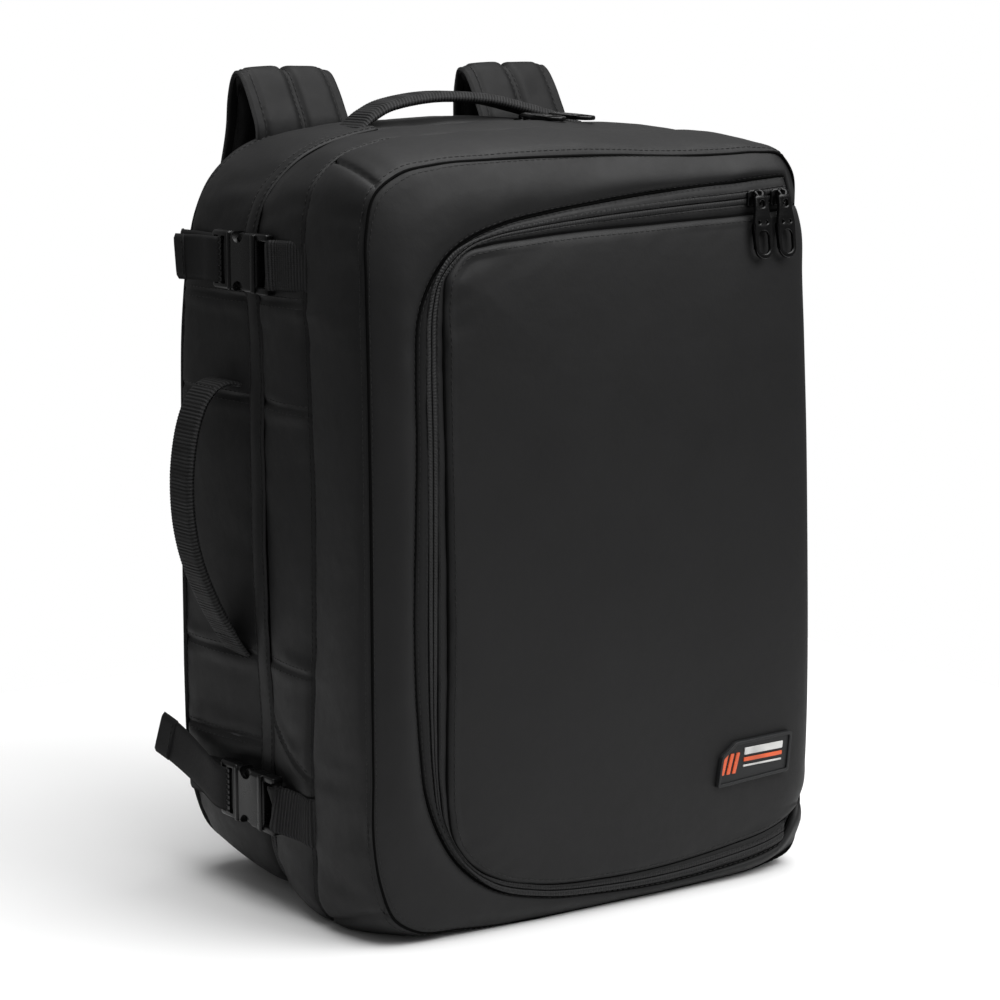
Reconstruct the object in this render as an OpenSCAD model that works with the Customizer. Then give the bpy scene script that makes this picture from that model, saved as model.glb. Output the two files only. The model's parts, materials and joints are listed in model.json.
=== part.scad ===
// Travel backpack, 40 x 30 x 20 cm class, packed full.
// Frame: the front pocket faces -Y, the padded back panel +Y, Z is up; X is to the right as the front is seen.
// Origin: on the flat base, on the plane of symmetry.

/* [Body] */
// Half width of the body at the front seam
half_w = 143; // [136:0.5:146]
// Height of the front seam's top edge
seam_top = 405; // [400:0.5:408]
// Wall of the padded gussets
wall = 2.2; // [1.6:0.1:3]

/* [Webbing] */
// Height of the upper compression strap's centre
strap_hi = 351; // [344:0.5:356]
// Height of the lower compression strap's centre
strap_lo = 61.5; // [60:0.5:75]
// Width of the compression webbing
web_w = 25; // [20:1:25]
// Width of the carry handle webbing
handle_w = 25; // [20:1:28]
// Height of the side grab handle's middle
grab_z = 211.5; // [200:0.5:220]

/* [Shoulder straps] */
// Width of the padded strap at the shoulder
pad_w = 64; // [56:1:70]
// Distance of each strap's centre from the middle
pad_x = 76; // [70:1:80]

/* [Zips] */
// Length of the zip pull
pull_l = 31; // [24:1:32]
// Width of the zip pull
pull_w = 12; // [9:0.5:13]
// Position of the first front zip slider
slider_a = 91; // [80:1:91]
// Position of the second front zip slider
slider_b = 110; // [109:1:111]

/* [Hidden] */
y_s1 = -92;      // front seam
y_s2 = -40.5;    // middle seam
y_zip = 12;      // parting plane of the main zip
y_rear = 86;     // rear seam
y_face = 98;     // wearer's side of the back panel
pt = seam_top - 18.5; // top of the pocket opening

fabric = [0.13, 0.13, 0.135];
web = [0.10, 0.10, 0.105];
plastic = [0.09, 0.09, 0.095];
mesh_grey = [0.16, 0.16, 0.165];
metal = [0.08, 0.08, 0.085];

// ---------- rings and lofts ----------
// Rounded rectangle in the plane y, corner radii r = [right top, left top, left bottom, right bottom].
function ring(y, x0, x1, z0, z1, r, n = 6) = [for (k = [0:3]) for (i = [0:n])
  let (a = k * 90 + i * 90 / n, rr = r[k],
       cx = (k == 0 || k == 3) ? x1 - rr : x0 + rr, cz = (k < 2) ? z1 - rr : z0 + rr)
  [cx + rr * cos(a), y, cz + rr * sin(a)]];

// The body's section at each station: [y, half width, bottom, top, top radius, bottom radius].
stations = [
  [y_s1, half_w, 5, seam_top, 28, 34],
  [-88, half_w + 1.6, 2, seam_top + 2.5, 31, 36],
  [-78, half_w + 2.6, 0, seam_top + 4.5, 35, 38],
  [-64, half_w + 3, 0, seam_top + 6, 40, 41],
  [-50, half_w + 2, 0, seam_top + 7, 44, 43],
  [y_s2, half_w + 1, 0, seam_top + 7.5, 46, 44],
  [-30, half_w + 1.6, 0, seam_top + 9, 50, 46],
  [-14, half_w + 2, 0, seam_top + 10.5, 54, 47],
  [0, half_w + 1, 0, seam_top + 10.5, 58, 48],
  [6.4, half_w - 0.2, 0, seam_top + 10, 60, 48],
  [17.6, half_w - 0.2, 0, seam_top + 10, 60, 48],
  [24, half_w + 1, 0, seam_top + 11, 61, 48],
  [45, half_w + 2, 0, seam_top + 11.5, 62, 48],
  [65, half_w + 2, 0, seam_top + 10.5, 62, 48],
  [78, half_w + 1.5, 1, seam_top + 8, 61, 49],
  [y_rear, half_w, 4, seam_top + 4, 59, 50]];

function st_ring(s, t = 0, y = undef) = ring(is_undef(y) ? s[0] : y, -s[1] + t, s[1] - t, s[2] + t, s[3] - t,
  [s[4] - t, s[4] - t, s[5] - t, s[5] - t]);

function flat(l) = [for (a = l) for (b = a) b];

// Skin through a list of rings: capped at both ends, or closed into a loop.
module loft(rings, closed = false) {
  n = len(rings[0]);
  m = len(rings);
  last = closed ? m - 1 : m - 2;
  sides = [for (j = [0:last]) for (i = [0:n - 1])
    let (a = j * n + i, b = j * n + (i + 1) % n, c = ((j + 1) % m) * n + (i + 1) % n, d = ((j + 1) % m) * n + i)
    each [[a, b, c], [a, c, d]]];
  caps = closed ? [] : [[for (i = [n - 1:-1:0]) i], [for (i = [0:n - 1]) (m - 1) * n + i]];
  polyhedron(points = flat(rings), faces = concat(sides, caps), convexity = 6);
}

// A gusset: the wall between two stations, hollow inside.
module gusset(i0, i1, t = wall) {
  outer = [for (i = [i0:i1]) st_ring(stations[i])];
  inner = [for (i = [i1:-1:i0]) st_ring(stations[i], t)];
  loft(concat(outer, inner), closed = true);
}

// ---------- straps ----------
// Flat or padded strap along a path. wd is the direction of its width, ws and ts its widths and thicknesses.
function unit(v) = v / norm(v);
function section(pad) = pad ?
  [[-1, -0.35], [-0.93, -0.85], [-0.6, -1], [0, -0.8], [0.6, -1], [0.93, -0.85], [1, -0.35],
   [1, 0.35], [0.93, 0.85], [0.6, 1], [0, 0.8], [-0.6, 1], [-0.93, 0.85], [-1, 0.35]] :
  [[-1, -1], [1, -1], [1, 1], [-1, 1]];
module strap(path, wd, ws, ts, pad = false) {
  m = len(path);
  sec = section(pad);
  rings = [for (i = [0:m - 1])
    let (t = unit(path[min(i + 1, m - 1)] - path[max(i - 1, 0)]),
         w = unit(wd - (wd * t) * t), u = cross(t, w), ww = is_list(ws) ? ws[i] : ws, tt = is_list(ts) ? ts[i] : ts)
    [for (s = sec) path[i] + w * s[0] * ww / 2 + u * s[1] * tt / 2]];
  n = len(sec);
  sides = [for (j = [0:m - 2]) for (i = [0:n - 1])
    let (a = j * n + i, b = j * n + (i + 1) % n, c = (j + 1) * n + (i + 1) % n, d = (j + 1) * n + i)
    each [[a, c, b], [a, d, c]]];
  caps = [[for (i = [0:n - 1]) i], [for (i = [n - 1:-1:0]) (m - 1) * n + i]];
  polyhedron(points = flat(rings), faces = concat(sides, caps), convexity = 4);
}

module both(v = [1, 0, 0]) { children(); mirror(v) children(); }

// Round-cornered plate in the XZ plane, from y0 forward by t.
module plate_xz(pts, y0, t) { translate([0, y0, 0]) rotate([90, 0, 0]) linear_extrude(t) polygon(pts); }
function rr_pts(x0, x1, z0, z1, r, n = 5) = [for (p = ring(0, x0, x1, z0, z1, [r, r, r, r], n)) [p[0], p[2]]];

// ---------- root: rear half ----------
module rear_gusset() { color(fabric) gusset(10, 15); }

module back_panel() {
  s = stations[15];
  color(mesh_grey) loft([st_ring(s, 0), st_ring(s, 1.5, 90), st_ring(s, 4, 94), st_ring(s, 8, 97), st_ring(s, 14, y_face)]);
}

module back_stiffener() { color([0.2, 0.2, 0.2]) plate_xz(rr_pts(-124, 124, 18, 392, 40), 84.5, 1.5); }

// Padded sleeve for a laptop: a floor, two sides and a front sheet, open at the top.
module laptop_sleeve() {
  color(fabric) {
    plate_xz(rr_pts(-118, 118, 22, 292, 14), 66, 2.5);
    difference() {
      plate_xz(rr_pts(-118, 118, 22, 292, 14), 82, 16);
      plate_xz([[-114, 26], [114, 26], [114, 300], [-114, 300]], 83, 18);
    }
  }
}

function sub(l, a, b) = [for (i = [a:b]) l[i]];
function rev(l) = [for (i = [len(l) - 1:-1:0]) l[i]];
function xz(l) = [for (p = l) [p[0], p[2]]];
// The open run of the main zip: right side, top and left side, cut off near the base.
function main_run(t, n = 6) = let (s = stations[9], r = xz(ring(0, -s[1] + t, s[1] - t, s[2] + t, s[3] - t, [s[4] - t, s[4] - t, 20, 20], n)))
  concat([[s[1] - t, 40]], sub(r, 0, 2 * n + 1), [[-s[1] + t, 40]]);
module main_run_band(t0, t1, y0, t) { plate_xz(concat(main_run(t0), rev(main_run(t1))), y0, t); }

module main_zip_rear() {
  color(metal) {
    main_run_band(2.6, 3.6, 22, 9.8);
    main_run_band(1.2, 2.8, 14.1, 1.9);
  }
}
module main_zip_front() {
  color(metal) {
    main_run_band(2.6, 3.6, 11.8, 9.8);
    main_run_band(1.2, 2.8, 11.8, 1.9);
  }
}

// Storm flap over each side of the zip, sewn to the rear gusset. It ends at the carry handle's feet.
function side_run(t, n = 6) = let (s = stations[9], w = s[1] - t, h = s[3] - t, r = s[4] - t)
  concat([[-w, 40]], [for (i = [0:n]) [r - w - r * cos(i * 90 / n), h - r + r * sin(i * 90 / n)]]);
module rain_flap() { color(fabric) both() plate_xz(concat(side_run(-2.4), rev(side_run(-1.4))), 20, 9.5); }
// The base runs on under the parting line as one strip of cloth.
module base_strip() { color(fabric) translate([-90, 6.9, 0]) cube([180, 10.4, wall]); }

// ---------- carry handles ----------
hz = seam_top + 13.4;
// The free arch, and the two sewn feet it flexes from.
module top_handle() {
  color(web) strap([[-59, 32, hz + 8.6], [-50, 32, hz + 12.4], [-38, 32, hz + 15.6], [-20, 32, hz + 18], [0, 32, hz + 18.8],
    [20, 32, hz + 18], [38, 32, hz + 15.6], [50, 32, hz + 12.4], [59, 32, hz + 8.6]], [0, 1, 0], handle_w, 3.2);
}
module top_handle_tabs() {
  color(web) both() strap([[90, 32, hz - 0.7], [76, 32, hz - 0.7], [71, 32, hz + 1.4], [62.5, 32, hz + 6.2]], [0, 1, 0], handle_w, [1.8, 1.8, 2.4, 2.4]);
}

sx = -half_w - 2.6;
module side_handle() {
  color(web) translate([0, 0, grab_z]) strap([[sx - 11, 38, 55], [sx - 18, 38, 45], [sx - 23, 38, 33], [sx - 26, 38, 18], [sx - 27, 38, 0],
    [sx - 26, 38, -18], [sx - 23, 38, -33], [sx - 18, 38, -45], [sx - 11, 38, -55]], [0, 1, 0], handle_w, 3.2);
}
module side_handle_tabs() {
  color(web) for (s = [-1, 1]) translate([0, 0, grab_z])
    strap([[sx - 1.1, 38, s * 84], [sx - 1.1, 38, s * 70], [sx - 3.2, 38, s * 65], [sx - 8, 38, s * 59.6]], [0, 1, 0], handle_w,
      [1.8, 1.8, 2.4, 2.4]);
}

// ---------- shoulder straps ----------
module pad_strap(s) {
  color(fabric) strap([[s * pad_x, 105, 380], [s * pad_x, 105, 402], [s * pad_x, 106, 420], [s * pad_x, 109.5, 433], [s * pad_x, 117, 441],
    [s * pad_x, 126, 439], [s * pad_x, 132, 428], [s * pad_x, 134.5, 410], [s * (pad_x + 1), 134.5, 356], [s * (pad_x + 4), 132, 300],
    [s * (pad_x + 10), 129, 250], [s * (pad_x + 18), 125, 200], [s * (pad_x + 24), 121, 160], [s * (pad_x + 26), 117.5, 136]],
    [1, 0, 0], [pad_w, pad_w, pad_w, pad_w, pad_w, pad_w, pad_w, pad_w, pad_w, pad_w - 2, pad_w - 6, pad_w - 14, pad_w - 20, pad_w - 24],
    [8, 11, 11, 10, 9, 10, 11, 11, 11, 11, 11, 10, 9, 6], pad = true);
}
module strap_yoke() {
  color(fabric) plate_xz([[-110, 392], [-118, 378], [-112, 344], [-60, 336], [60, 336], [112, 344], [118, 378], [110, 392]], 99.4, 1.2);
}
// Ladder lock: an outer frame with two bars; the webbing runs over and under them.
module ladder_lock(s) {
  color(plastic) translate([s * (pad_x + 27), 114.6, 121]) rotate([-10, 0, 0]) rotate([0, s * 7, 0])
    difference() {
      translate([-16.5, -2, -12]) cube([33, 4, 24]);
      translate([-13, -3, -8.5]) cube([26, 6, 4]);
      translate([-13, -3, -2]) cube([26, 6, 3.5]);
      translate([-13, -3, 4.5]) cube([26, 6, 4.2]);
    }
}
module lower_web(s) {
  color(web) {
    strap([[s * (pad_x + 28), 109, 116], [s * (pad_x + 32), 106.6, 96], [s * (pad_x + 39), 104, 72], [s * (pad_x + 46), 102.4, 50]], [1, 0, 0], 24, 1.5);
    strap([[s * (pad_x + 27), 119.8, 128], [s * (pad_x + 27), 119.5, 110], [s * (pad_x + 28), 117.5, 85], [s * (pad_x + 28), 115.5, 58], [s * (pad_x + 27), 114, 36]],
      [1, 0, 0], 24, 1.5);
  }
}
module wing_tab(s) {
  pts = [[half_w - 32, 60], [half_w - 8, 66], [half_w - 4, 52], [half_w - 6, 34], [half_w - 22, 30], [half_w - 36, 44]];
  color(fabric) plate_xz([for (p = pts) [s * p[0], p[1]]], 101, 2.4);
}

// ---------- compression straps ----------
// Each is drawn on the left side at height z, and mirrored for the right side.
wx = -half_w - 2.8;   // outer face of the body with a little room
bx = wx - 6;          // middle of the buckle
module place(side, z) { if (side < 0) translate([0, 0, z]) children(); else mirror([1, 0, 0]) translate([0, 0, z]) children(); }

module rear_web() { strap([[wx - 0.5, 25, 0], [wx - 0.5, 50, 0], [wx - 0.3, 70, 0.5], [wx + 0.3, 81, 1], [wx + 2.6, 90, 1]], [0, 0, 1], web_w, 1.4); }
module front_web() {
  strap([[bx, -14.2, 0], [bx + 1.5, -19, 0], [bx + 3.6, -25, 0], [bx + 5, -32, 0], [bx + 5.6, -41.5, 0]], [0, 0, 1], web_w - 0.6, 1.5);
}
module tail(rise) {
  strap([[bx - 5, 37.6, 0], [bx - 5.6, 46, rise * 0.12], [bx - 6.4, 58, rise * 0.35], [bx - 7.8, 72, rise * 0.68], [bx - 9.6, 86, rise]], [0, 0, 1], web_w, 1.4);
}
// Male half: a ladder frame, a base and three prongs pointing forward (-Y).
module male() {
  difference() {
    union() {
      translate([bx - 3.6, 24.3, -15.6]) cube([7.2, 17.2, 31.2]);
      for (s = [-1, 1]) translate([bx - 2.1, 12, s * 9.1 - 1.3]) cube([4.2, 13.5, 2.6]);
      for (s = [-1, 1]) translate([bx - 2.1, 13, s * 10.2 - 1]) cube([4.2, 4.4, 2]);
      translate([bx - 1.6, 12, -2.2]) cube([3.2, 13.5, 4.4]);
    }
    translate([bx - 5, 28.4, -12.8]) cube([10, 3.6, 25.6]);
    translate([bx - 5, 34.6, -12.8]) cube([10, 3.8, 25.6]);
    translate([bx - 5, 38, -12.8]) cube([3.6, 4, 25.6]);
  }
}
// Female half: a socket open at the rear, a window each side and a bar for the sewn webbing.
module female() {
  difference() {
    translate([bx - 4.3, -4, -15.6]) cube([8.6, 28, 31.2]);
    translate([bx - 2.7, 2, -13.9]) cube([5.4, 24, 27.8]);
    for (s = [-1, 1]) translate([bx - 6, 14.6, s * 15.4]) rotate([0, 90, 0]) cylinder(h = 12, r = 5, $fn = 40);
  }
  for (s = [-1, 1]) translate([bx - 3.4, -13.5, s * 14.2 - 1.6]) cube([6.8, 10, 3.2]);
  translate([bx - 1.4, -13.5, -13]) cube([2.8, 2.8, 26]);
}

// ---------- front half ----------
module middle_gusset() { color(fabric) gusset(5, 9); }
module front_gusset() { color(fabric) gusset(0, 5); }
s1 = stations[0];
pocket_r = [8, 58, 56, 8];
module front_panel() {
  color(fabric) loft([
    ring(-103, -117, 128, 14, pt, pocket_r),
    ring(-98.5, -131, half_w - 4.5, 9, pt + 11, [24, 42, 44, 36]),
    st_ring(s1, 0),
    ring(y_s1, -117, 128, 14, pt, pocket_r)], closed = true);
}
module pocket_back() { color(fabric) loft([st_ring(s1, wall + 0.4, -91.7), st_ring(s1, wall + 0.4, -90.2)]); }

// The front zip runs along the top, the left side and the bottom of the pocket.
function pocket_run(t, n = 6) = let (r = xz(ring(0, -117 + t, 128 - t, 14 + t, pt - t, [20, 58 - t, 56 - t, 34], n)))
  concat([[118, pt - t]], sub(r, n + 1, 3 * n + 2), [[118, 14 + t]]);
module pocket_band(t0, t1, y0, t) { plate_xz(concat(pocket_run(t0), rev(pocket_run(t1))), y0, t); }
module pocket_zip_shell() { color(metal) { pocket_band(0.3, 8, -101, 1); pocket_band(5.6, 8, -102, 1.5); } }
module pocket_zip_flap() { color(metal) { pocket_band(8.3, 16.2, -101, 1); pocket_band(8.3, 10.7, -102, 1.5); } }

flap_r = [14, 42, 40, 26];
module pocket_flap() {
  color(fabric) loft([
    ring(-110.5, -30, 58, 130, pt - 112, [14, 30, 30, 14]),
    ring(-109.8, -64, 88, 66, pt - 56, [14, 38, 38, 20]),
    ring(-108, -87, 112, 40, pt - 31, [14, 42, 40, 26]),
    ring(-105.6, -96, 120, 32, pt - 21, flap_r),
    ring(-103.6, -100, 124, 29, pt - 17, flap_r),
    ring(-102.2, -100, 124, 29, pt - 17, flap_r)]);
}
module flap_hinge_strip() { color(fabric) translate([120, -101.9, 60]) cube([7.6, 0.9, 280]); }
module rubber_patch() {
  color(plastic) plate_xz([[65, 60], [119, 64], [119, 92], [74, 88], [65, 82]], -110.9, 2);
}

// ---------- zip sliders ----------
// The chain runs along X, the outside is -Y and the pull hangs along -Z.
bar_y = -8.6;
module slider() {
  translate([-6.5, -3.6, -4.9]) cube([13, 1.6, 9.8]);
  for (s = [-1, 1]) translate([-6.5, -2.1, s * 4.3 - 0.6]) cube([13, 1.8, 1.2]);
  for (s = [-1, 1]) translate([s * 4.4 - 0.8, bar_y - 1.3, 0.7]) cube([1.6, -bar_y - 2, 2.6]);
  translate([-4.4, bar_y, 2]) rotate([0, 90, 0]) cylinder(h = 8.8, r = 0.9, $fn = 32);
}
module pull() {
  difference() {
    union() {
      translate([-3, bar_y, 2]) rotate([0, 90, 0]) cylinder(h = 6, r = 2.1, $fn = 40);
      plate_xz([[-2.8, 2], [2.8, 2], [3, -3], [pull_w / 2, -8], [pull_w / 2, 4 - pull_l], [pull_w / 2 - 3, 0.5 - pull_l],
        [3 - pull_w / 2, 0.5 - pull_l], [-pull_w / 2, 4 - pull_l], [-pull_w / 2, -8], [-3, -3]], bar_y + 0.9, 1.8);
    }
    translate([-4, bar_y, 2]) rotate([0, 90, 0]) cylinder(h = 8, r = 0.95, $fn = 40);
    plate_xz(rr_pts(-3.6, 3.6, 2.8 - pull_l, 12 - pull_l, 2.4), bar_y + 3, 6);
  }
}
module at_pocket(x) { translate([x, -102, pt - 8.3]) children(); }
module at_top(x) { translate([x, y_zip, stations[9][3] - 2.6]) rotate([-90, 0, 0]) children(); }

rear_gusset();
back_panel();
back_stiffener();
laptop_sleeve();
main_zip_rear();
rain_flap();
base_strip();
top_handle();
top_handle_tabs();
side_handle();
side_handle_tabs();
pad_strap(-1);  // shoulder_strap_left
pad_strap(1);  // shoulder_strap_right
strap_yoke();
ladder_lock(-1);  // ladder_lock_left
ladder_lock(1);  // ladder_lock_right
lower_web(-1);  // lower_web_left
lower_web(1);  // lower_web_right
wing_tab(-1);  // wing_tab_left
wing_tab(1);  // wing_tab_right
color(web) for (s = [-1, 1]) for (z = [strap_hi, strap_lo]) place(s, z) rear_web();  // compression_webs_rear
color(plastic) place(-1, strap_hi) male();  // male_buckle_upper_left
color(plastic) place(1, strap_hi) male();  // male_buckle_upper_right
color(plastic) place(-1, strap_lo) male();  // male_buckle_lower_left
color(plastic) place(1, strap_lo) male();  // male_buckle_lower_right
color(web) place(-1, strap_hi) tail(0);  // strap_tail_upper_left
color(web) place(1, strap_hi) tail(0);  // strap_tail_upper_right
color(web) place(-1, strap_lo) tail(15);  // strap_tail_lower_left
color(web) place(1, strap_lo) tail(15);  // strap_tail_lower_right
front_gusset();
middle_gusset();
front_panel();
pocket_back();
pocket_zip_shell();
main_zip_front();
color(web) for (s = [-1, 1]) for (z = [strap_hi, strap_lo]) place(s, z) front_web();  // compression_webs_front
color(plastic) place(-1, strap_hi) female();  // female_buckle_upper_left
color(plastic) place(1, strap_hi) female();  // female_buckle_upper_right
color(plastic) place(-1, strap_lo) female();  // female_buckle_lower_left
color(plastic) place(1, strap_lo) female();  // female_buckle_lower_right
color(metal) at_top(30) slider();  // main_slider_left
color(metal) at_top(50) slider();  // main_slider_right
color(metal) at_top(30) pull();  // main_pull_left
color(metal) at_top(50) pull();  // main_pull_right
pocket_flap();
pocket_zip_flap();
flap_hinge_strip();
rubber_patch();
color(metal) at_pocket(slider_a) slider();  // pocket_slider_left
color(metal) at_pocket(slider_b) slider();  // pocket_slider_right
color(metal) at_pocket(slider_a) pull();  // pocket_pull_left
color(metal) at_pocket(slider_b) pull();  // pocket_pull_right
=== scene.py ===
"""Travel backpack: the looks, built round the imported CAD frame. Lengths are worked in millimetres and stored in metres."""
import json
import math
import bpy
import bmesh
import numpy as np
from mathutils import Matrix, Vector
from mathutils.bvhtree import BVHTree

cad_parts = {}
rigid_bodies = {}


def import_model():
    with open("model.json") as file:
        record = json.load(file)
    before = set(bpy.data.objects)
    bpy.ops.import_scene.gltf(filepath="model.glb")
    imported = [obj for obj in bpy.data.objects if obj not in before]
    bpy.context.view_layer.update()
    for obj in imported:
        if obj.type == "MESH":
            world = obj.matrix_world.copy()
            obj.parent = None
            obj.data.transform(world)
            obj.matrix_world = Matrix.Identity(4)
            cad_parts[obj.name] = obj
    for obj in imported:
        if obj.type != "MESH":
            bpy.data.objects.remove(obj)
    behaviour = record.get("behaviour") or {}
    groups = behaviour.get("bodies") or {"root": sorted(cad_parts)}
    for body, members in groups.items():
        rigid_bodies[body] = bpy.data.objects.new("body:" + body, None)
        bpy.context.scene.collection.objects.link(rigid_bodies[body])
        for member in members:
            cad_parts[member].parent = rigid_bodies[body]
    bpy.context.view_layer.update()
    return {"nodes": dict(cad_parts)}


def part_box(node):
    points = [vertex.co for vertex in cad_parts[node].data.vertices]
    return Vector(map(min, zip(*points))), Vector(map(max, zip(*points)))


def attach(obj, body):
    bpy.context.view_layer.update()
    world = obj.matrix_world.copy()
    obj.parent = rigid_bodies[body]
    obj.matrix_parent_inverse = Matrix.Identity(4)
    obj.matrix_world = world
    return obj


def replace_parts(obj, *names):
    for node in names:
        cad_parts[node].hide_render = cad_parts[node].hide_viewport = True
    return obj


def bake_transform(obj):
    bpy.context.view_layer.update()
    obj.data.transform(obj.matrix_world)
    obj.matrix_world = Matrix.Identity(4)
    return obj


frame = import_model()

ZS = 5.0
MM = 0.001
rng = np.random.default_rng(7)


# ------------------------------------------------------------------ camera, light, floor
def look_at(obj, target):
    d = Vector(target) - obj.location
    obj.rotation_euler = d.to_track_quat("-Z", "Y").to_euler()


cam_data = bpy.data.cameras.new("camera")
cam = bpy.data.objects.new("camera", cam_data)
bpy.context.scene.collection.objects.link(cam)
cam.location = (-0.96774, -1.36967, 0.49069 + ZS * MM)
look_at(cam, (-0.00527, -0.01267, 0.20878 + ZS * MM))
cam_data.sensor_width = 36.0
cam_data.lens = 109.37
cam_data.clip_start = 0.05
bpy.context.scene.camera = cam

scene = bpy.context.scene
scene.view_settings.view_transform = "Standard"
world = bpy.data.worlds.new("studio")
scene.world = world
world.use_nodes = True
wt_ = world.node_tree
bg = wt_.nodes["Background"]
bg.inputs["Color"].default_value = (1, 1, 1, 1)
bg.inputs["Strength"].default_value = 0.23
seen = wt_.nodes.new("ShaderNodeBackground")
seen.inputs["Strength"].default_value = 1.0
seen.inputs["Color"].default_value = (1, 1, 1, 1)
path = wt_.nodes.new("ShaderNodeLightPath")
mixw = wt_.nodes.new("ShaderNodeMixShader")
wt_.links.new(path.outputs["Is Camera Ray"], mixw.inputs[0])
wt_.links.new(bg.outputs[0], mixw.inputs[1])
wt_.links.new(seen.outputs[0], mixw.inputs[2])
wt_.links.new(mixw.outputs[0], wt_.nodes["World Output"].inputs["Surface"])


def area(name, loc, target, size, power, size_y=None):
    d = bpy.data.lights.new(name, "AREA")
    d.energy = power
    d.size = size
    if size_y:
        d.shape = "RECTANGLE"
        d.size_y = size_y
    o = bpy.data.objects.new(name, d)
    o.location = loc
    scene.collection.objects.link(o)
    look_at(o, target)
    return o


area("overhead", (0.25, -0.45, 2.4), (0.05, 0.05, 0.1), 3.0, 130)
area("front_right", (0.85, -1.6, 1.5), (0, -0.1, 0.34), 1.3, 26)


# ------------------------------------------------------------------ mesh helpers
MADE = set()


def finish_mesh(name, verts, faces, mats, body, mat_index=None, uv=None, smooth=True):
    me = bpy.data.meshes.new(name)
    me.from_pydata((np.asarray(verts, float) * MM).tolist(), [], [tuple(int(i) for i in f) for f in faces])
    for m in (mats if isinstance(mats, (list, tuple)) else [mats]):
        me.materials.append(m)
    if mat_index is not None:
        me.polygons.foreach_set("material_index", np.asarray(mat_index, np.int32))
    if uv is not None:
        layer = me.uv_layers.new(name="UVMap")
        idx = np.zeros(len(me.loops), np.int32)
        me.loops.foreach_get("vertex_index", idx)
        layer.data.foreach_set("uv", (np.asarray(uv, float)[idx] * MM).astype(np.float32).ravel())
    me.polygons.foreach_set("use_smooth", np.full(len(me.polygons), bool(smooth)))
    me.validate()
    me.update()
    o = bpy.data.objects.new(name, me)
    scene.collection.objects.link(o)
    MADE.add(o.name)
    if body:
        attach(o, body)
    return o


def grid_faces(nu, nv, wrap_u=False, wrap_v=False, base=0, flip=False):
    f = []
    for i in range(nu if wrap_u else nu - 1):
        for j in range(nv if wrap_v else nv - 1):
            a = base + i * nv + j
            b = base + ((i + 1) % nu) * nv + j
            c = base + ((i + 1) % nu) * nv + (j + 1) % nv
            d = base + i * nv + (j + 1) % nv
            f.append((a, d, c, b) if flip else (a, b, c, d))
    return f


def outward(o, inside=(0, 0, 0)):
    """Recalculates the normals so that they point outside."""
    bm = bmesh.new()
    bm.from_mesh(o.data)
    bmesh.ops.recalc_face_normals(bm, faces=bm.faces)
    bm.to_mesh(o.data)
    bm.free()
    return o


def join(objs, name=None):
    objs = [o for o in objs if o is not None]
    bpy.ops.object.select_all(action="DESELECT")
    for o in objs:
        o.select_set(True)
    bpy.context.view_layer.objects.active = objs[0]
    bpy.ops.object.join()
    if name:
        objs[0].name = name
        objs[0].data.name = name
    return objs[0]


def sstep(a, b, x):
    t = np.clip((x - a) / (b - a), 0, 1)
    return t * t * (3 - 2 * t)


class Waves:
    """Smooth seeded 3-D noise: a sum of plane waves, about -1 to 1."""

    def __init__(self, seed, wavelength, n=18, stretch=(1, 1, 1)):
        r = np.random.default_rng(seed)
        d = r.normal(size=(n, 3))
        d /= np.linalg.norm(d, axis=1)[:, None]
        k = 2 * np.pi / (wavelength * r.uniform(0.6, 1.7, n))
        self.k = d * k[:, None] * np.array(stretch)
        self.p = r.uniform(0, 2 * np.pi, n)
        self.a = 1 / math.sqrt(n) * 1.2

    def __call__(self, p):
        p = np.asarray(p, float)
        return np.sin(p @ self.k.T + self.p).sum(-1) * self.a


def spline(points, n, closed=False):
    """Catmull-Rom through the points, n samples evenly spaced by length."""
    p = np.asarray(points, float)
    if closed:
        q = np.vstack([p[-1], p, p[0], p[1]])
    else:
        q = np.vstack([2 * p[0] - p[1], p, 2 * p[-1] - p[-2]])
    out = []
    for i in range(len(q) - 3):
        a, b, c, d = q[i:i + 4]
        t = np.linspace(0, 1, 24, endpoint=False)[:, None]
        out.append(0.5 * ((2 * b) + (c - a) * t + (2 * a - 5 * b + 4 * c - d) * t ** 2 + (3 * b - a - 3 * c + d) * t ** 3))
    out = np.vstack(out + [q[-2][None]])
    s = np.concatenate([[0], np.cumsum(np.linalg.norm(np.diff(out, axis=0), axis=1))])
    u = np.linspace(0, s[-1], n)
    return np.stack([np.interp(u, s, out[:, k]) for k in range(out.shape[1])], 1)


def resample(p, step=None, n=None):
    p = np.asarray(p, float)
    s = np.concatenate([[0], np.cumsum(np.linalg.norm(np.diff(p, axis=0), axis=1))])
    m = n or max(2, int(round(s[-1] / step)) + 1)
    u = np.linspace(0, s[-1], m)
    return np.stack([np.interp(u, s, p[:, k]) for k in range(p.shape[1])], 1)


def unit(v):
    return v / np.maximum(np.linalg.norm(v, axis=-1, keepdims=True), 1e-9)


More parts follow.
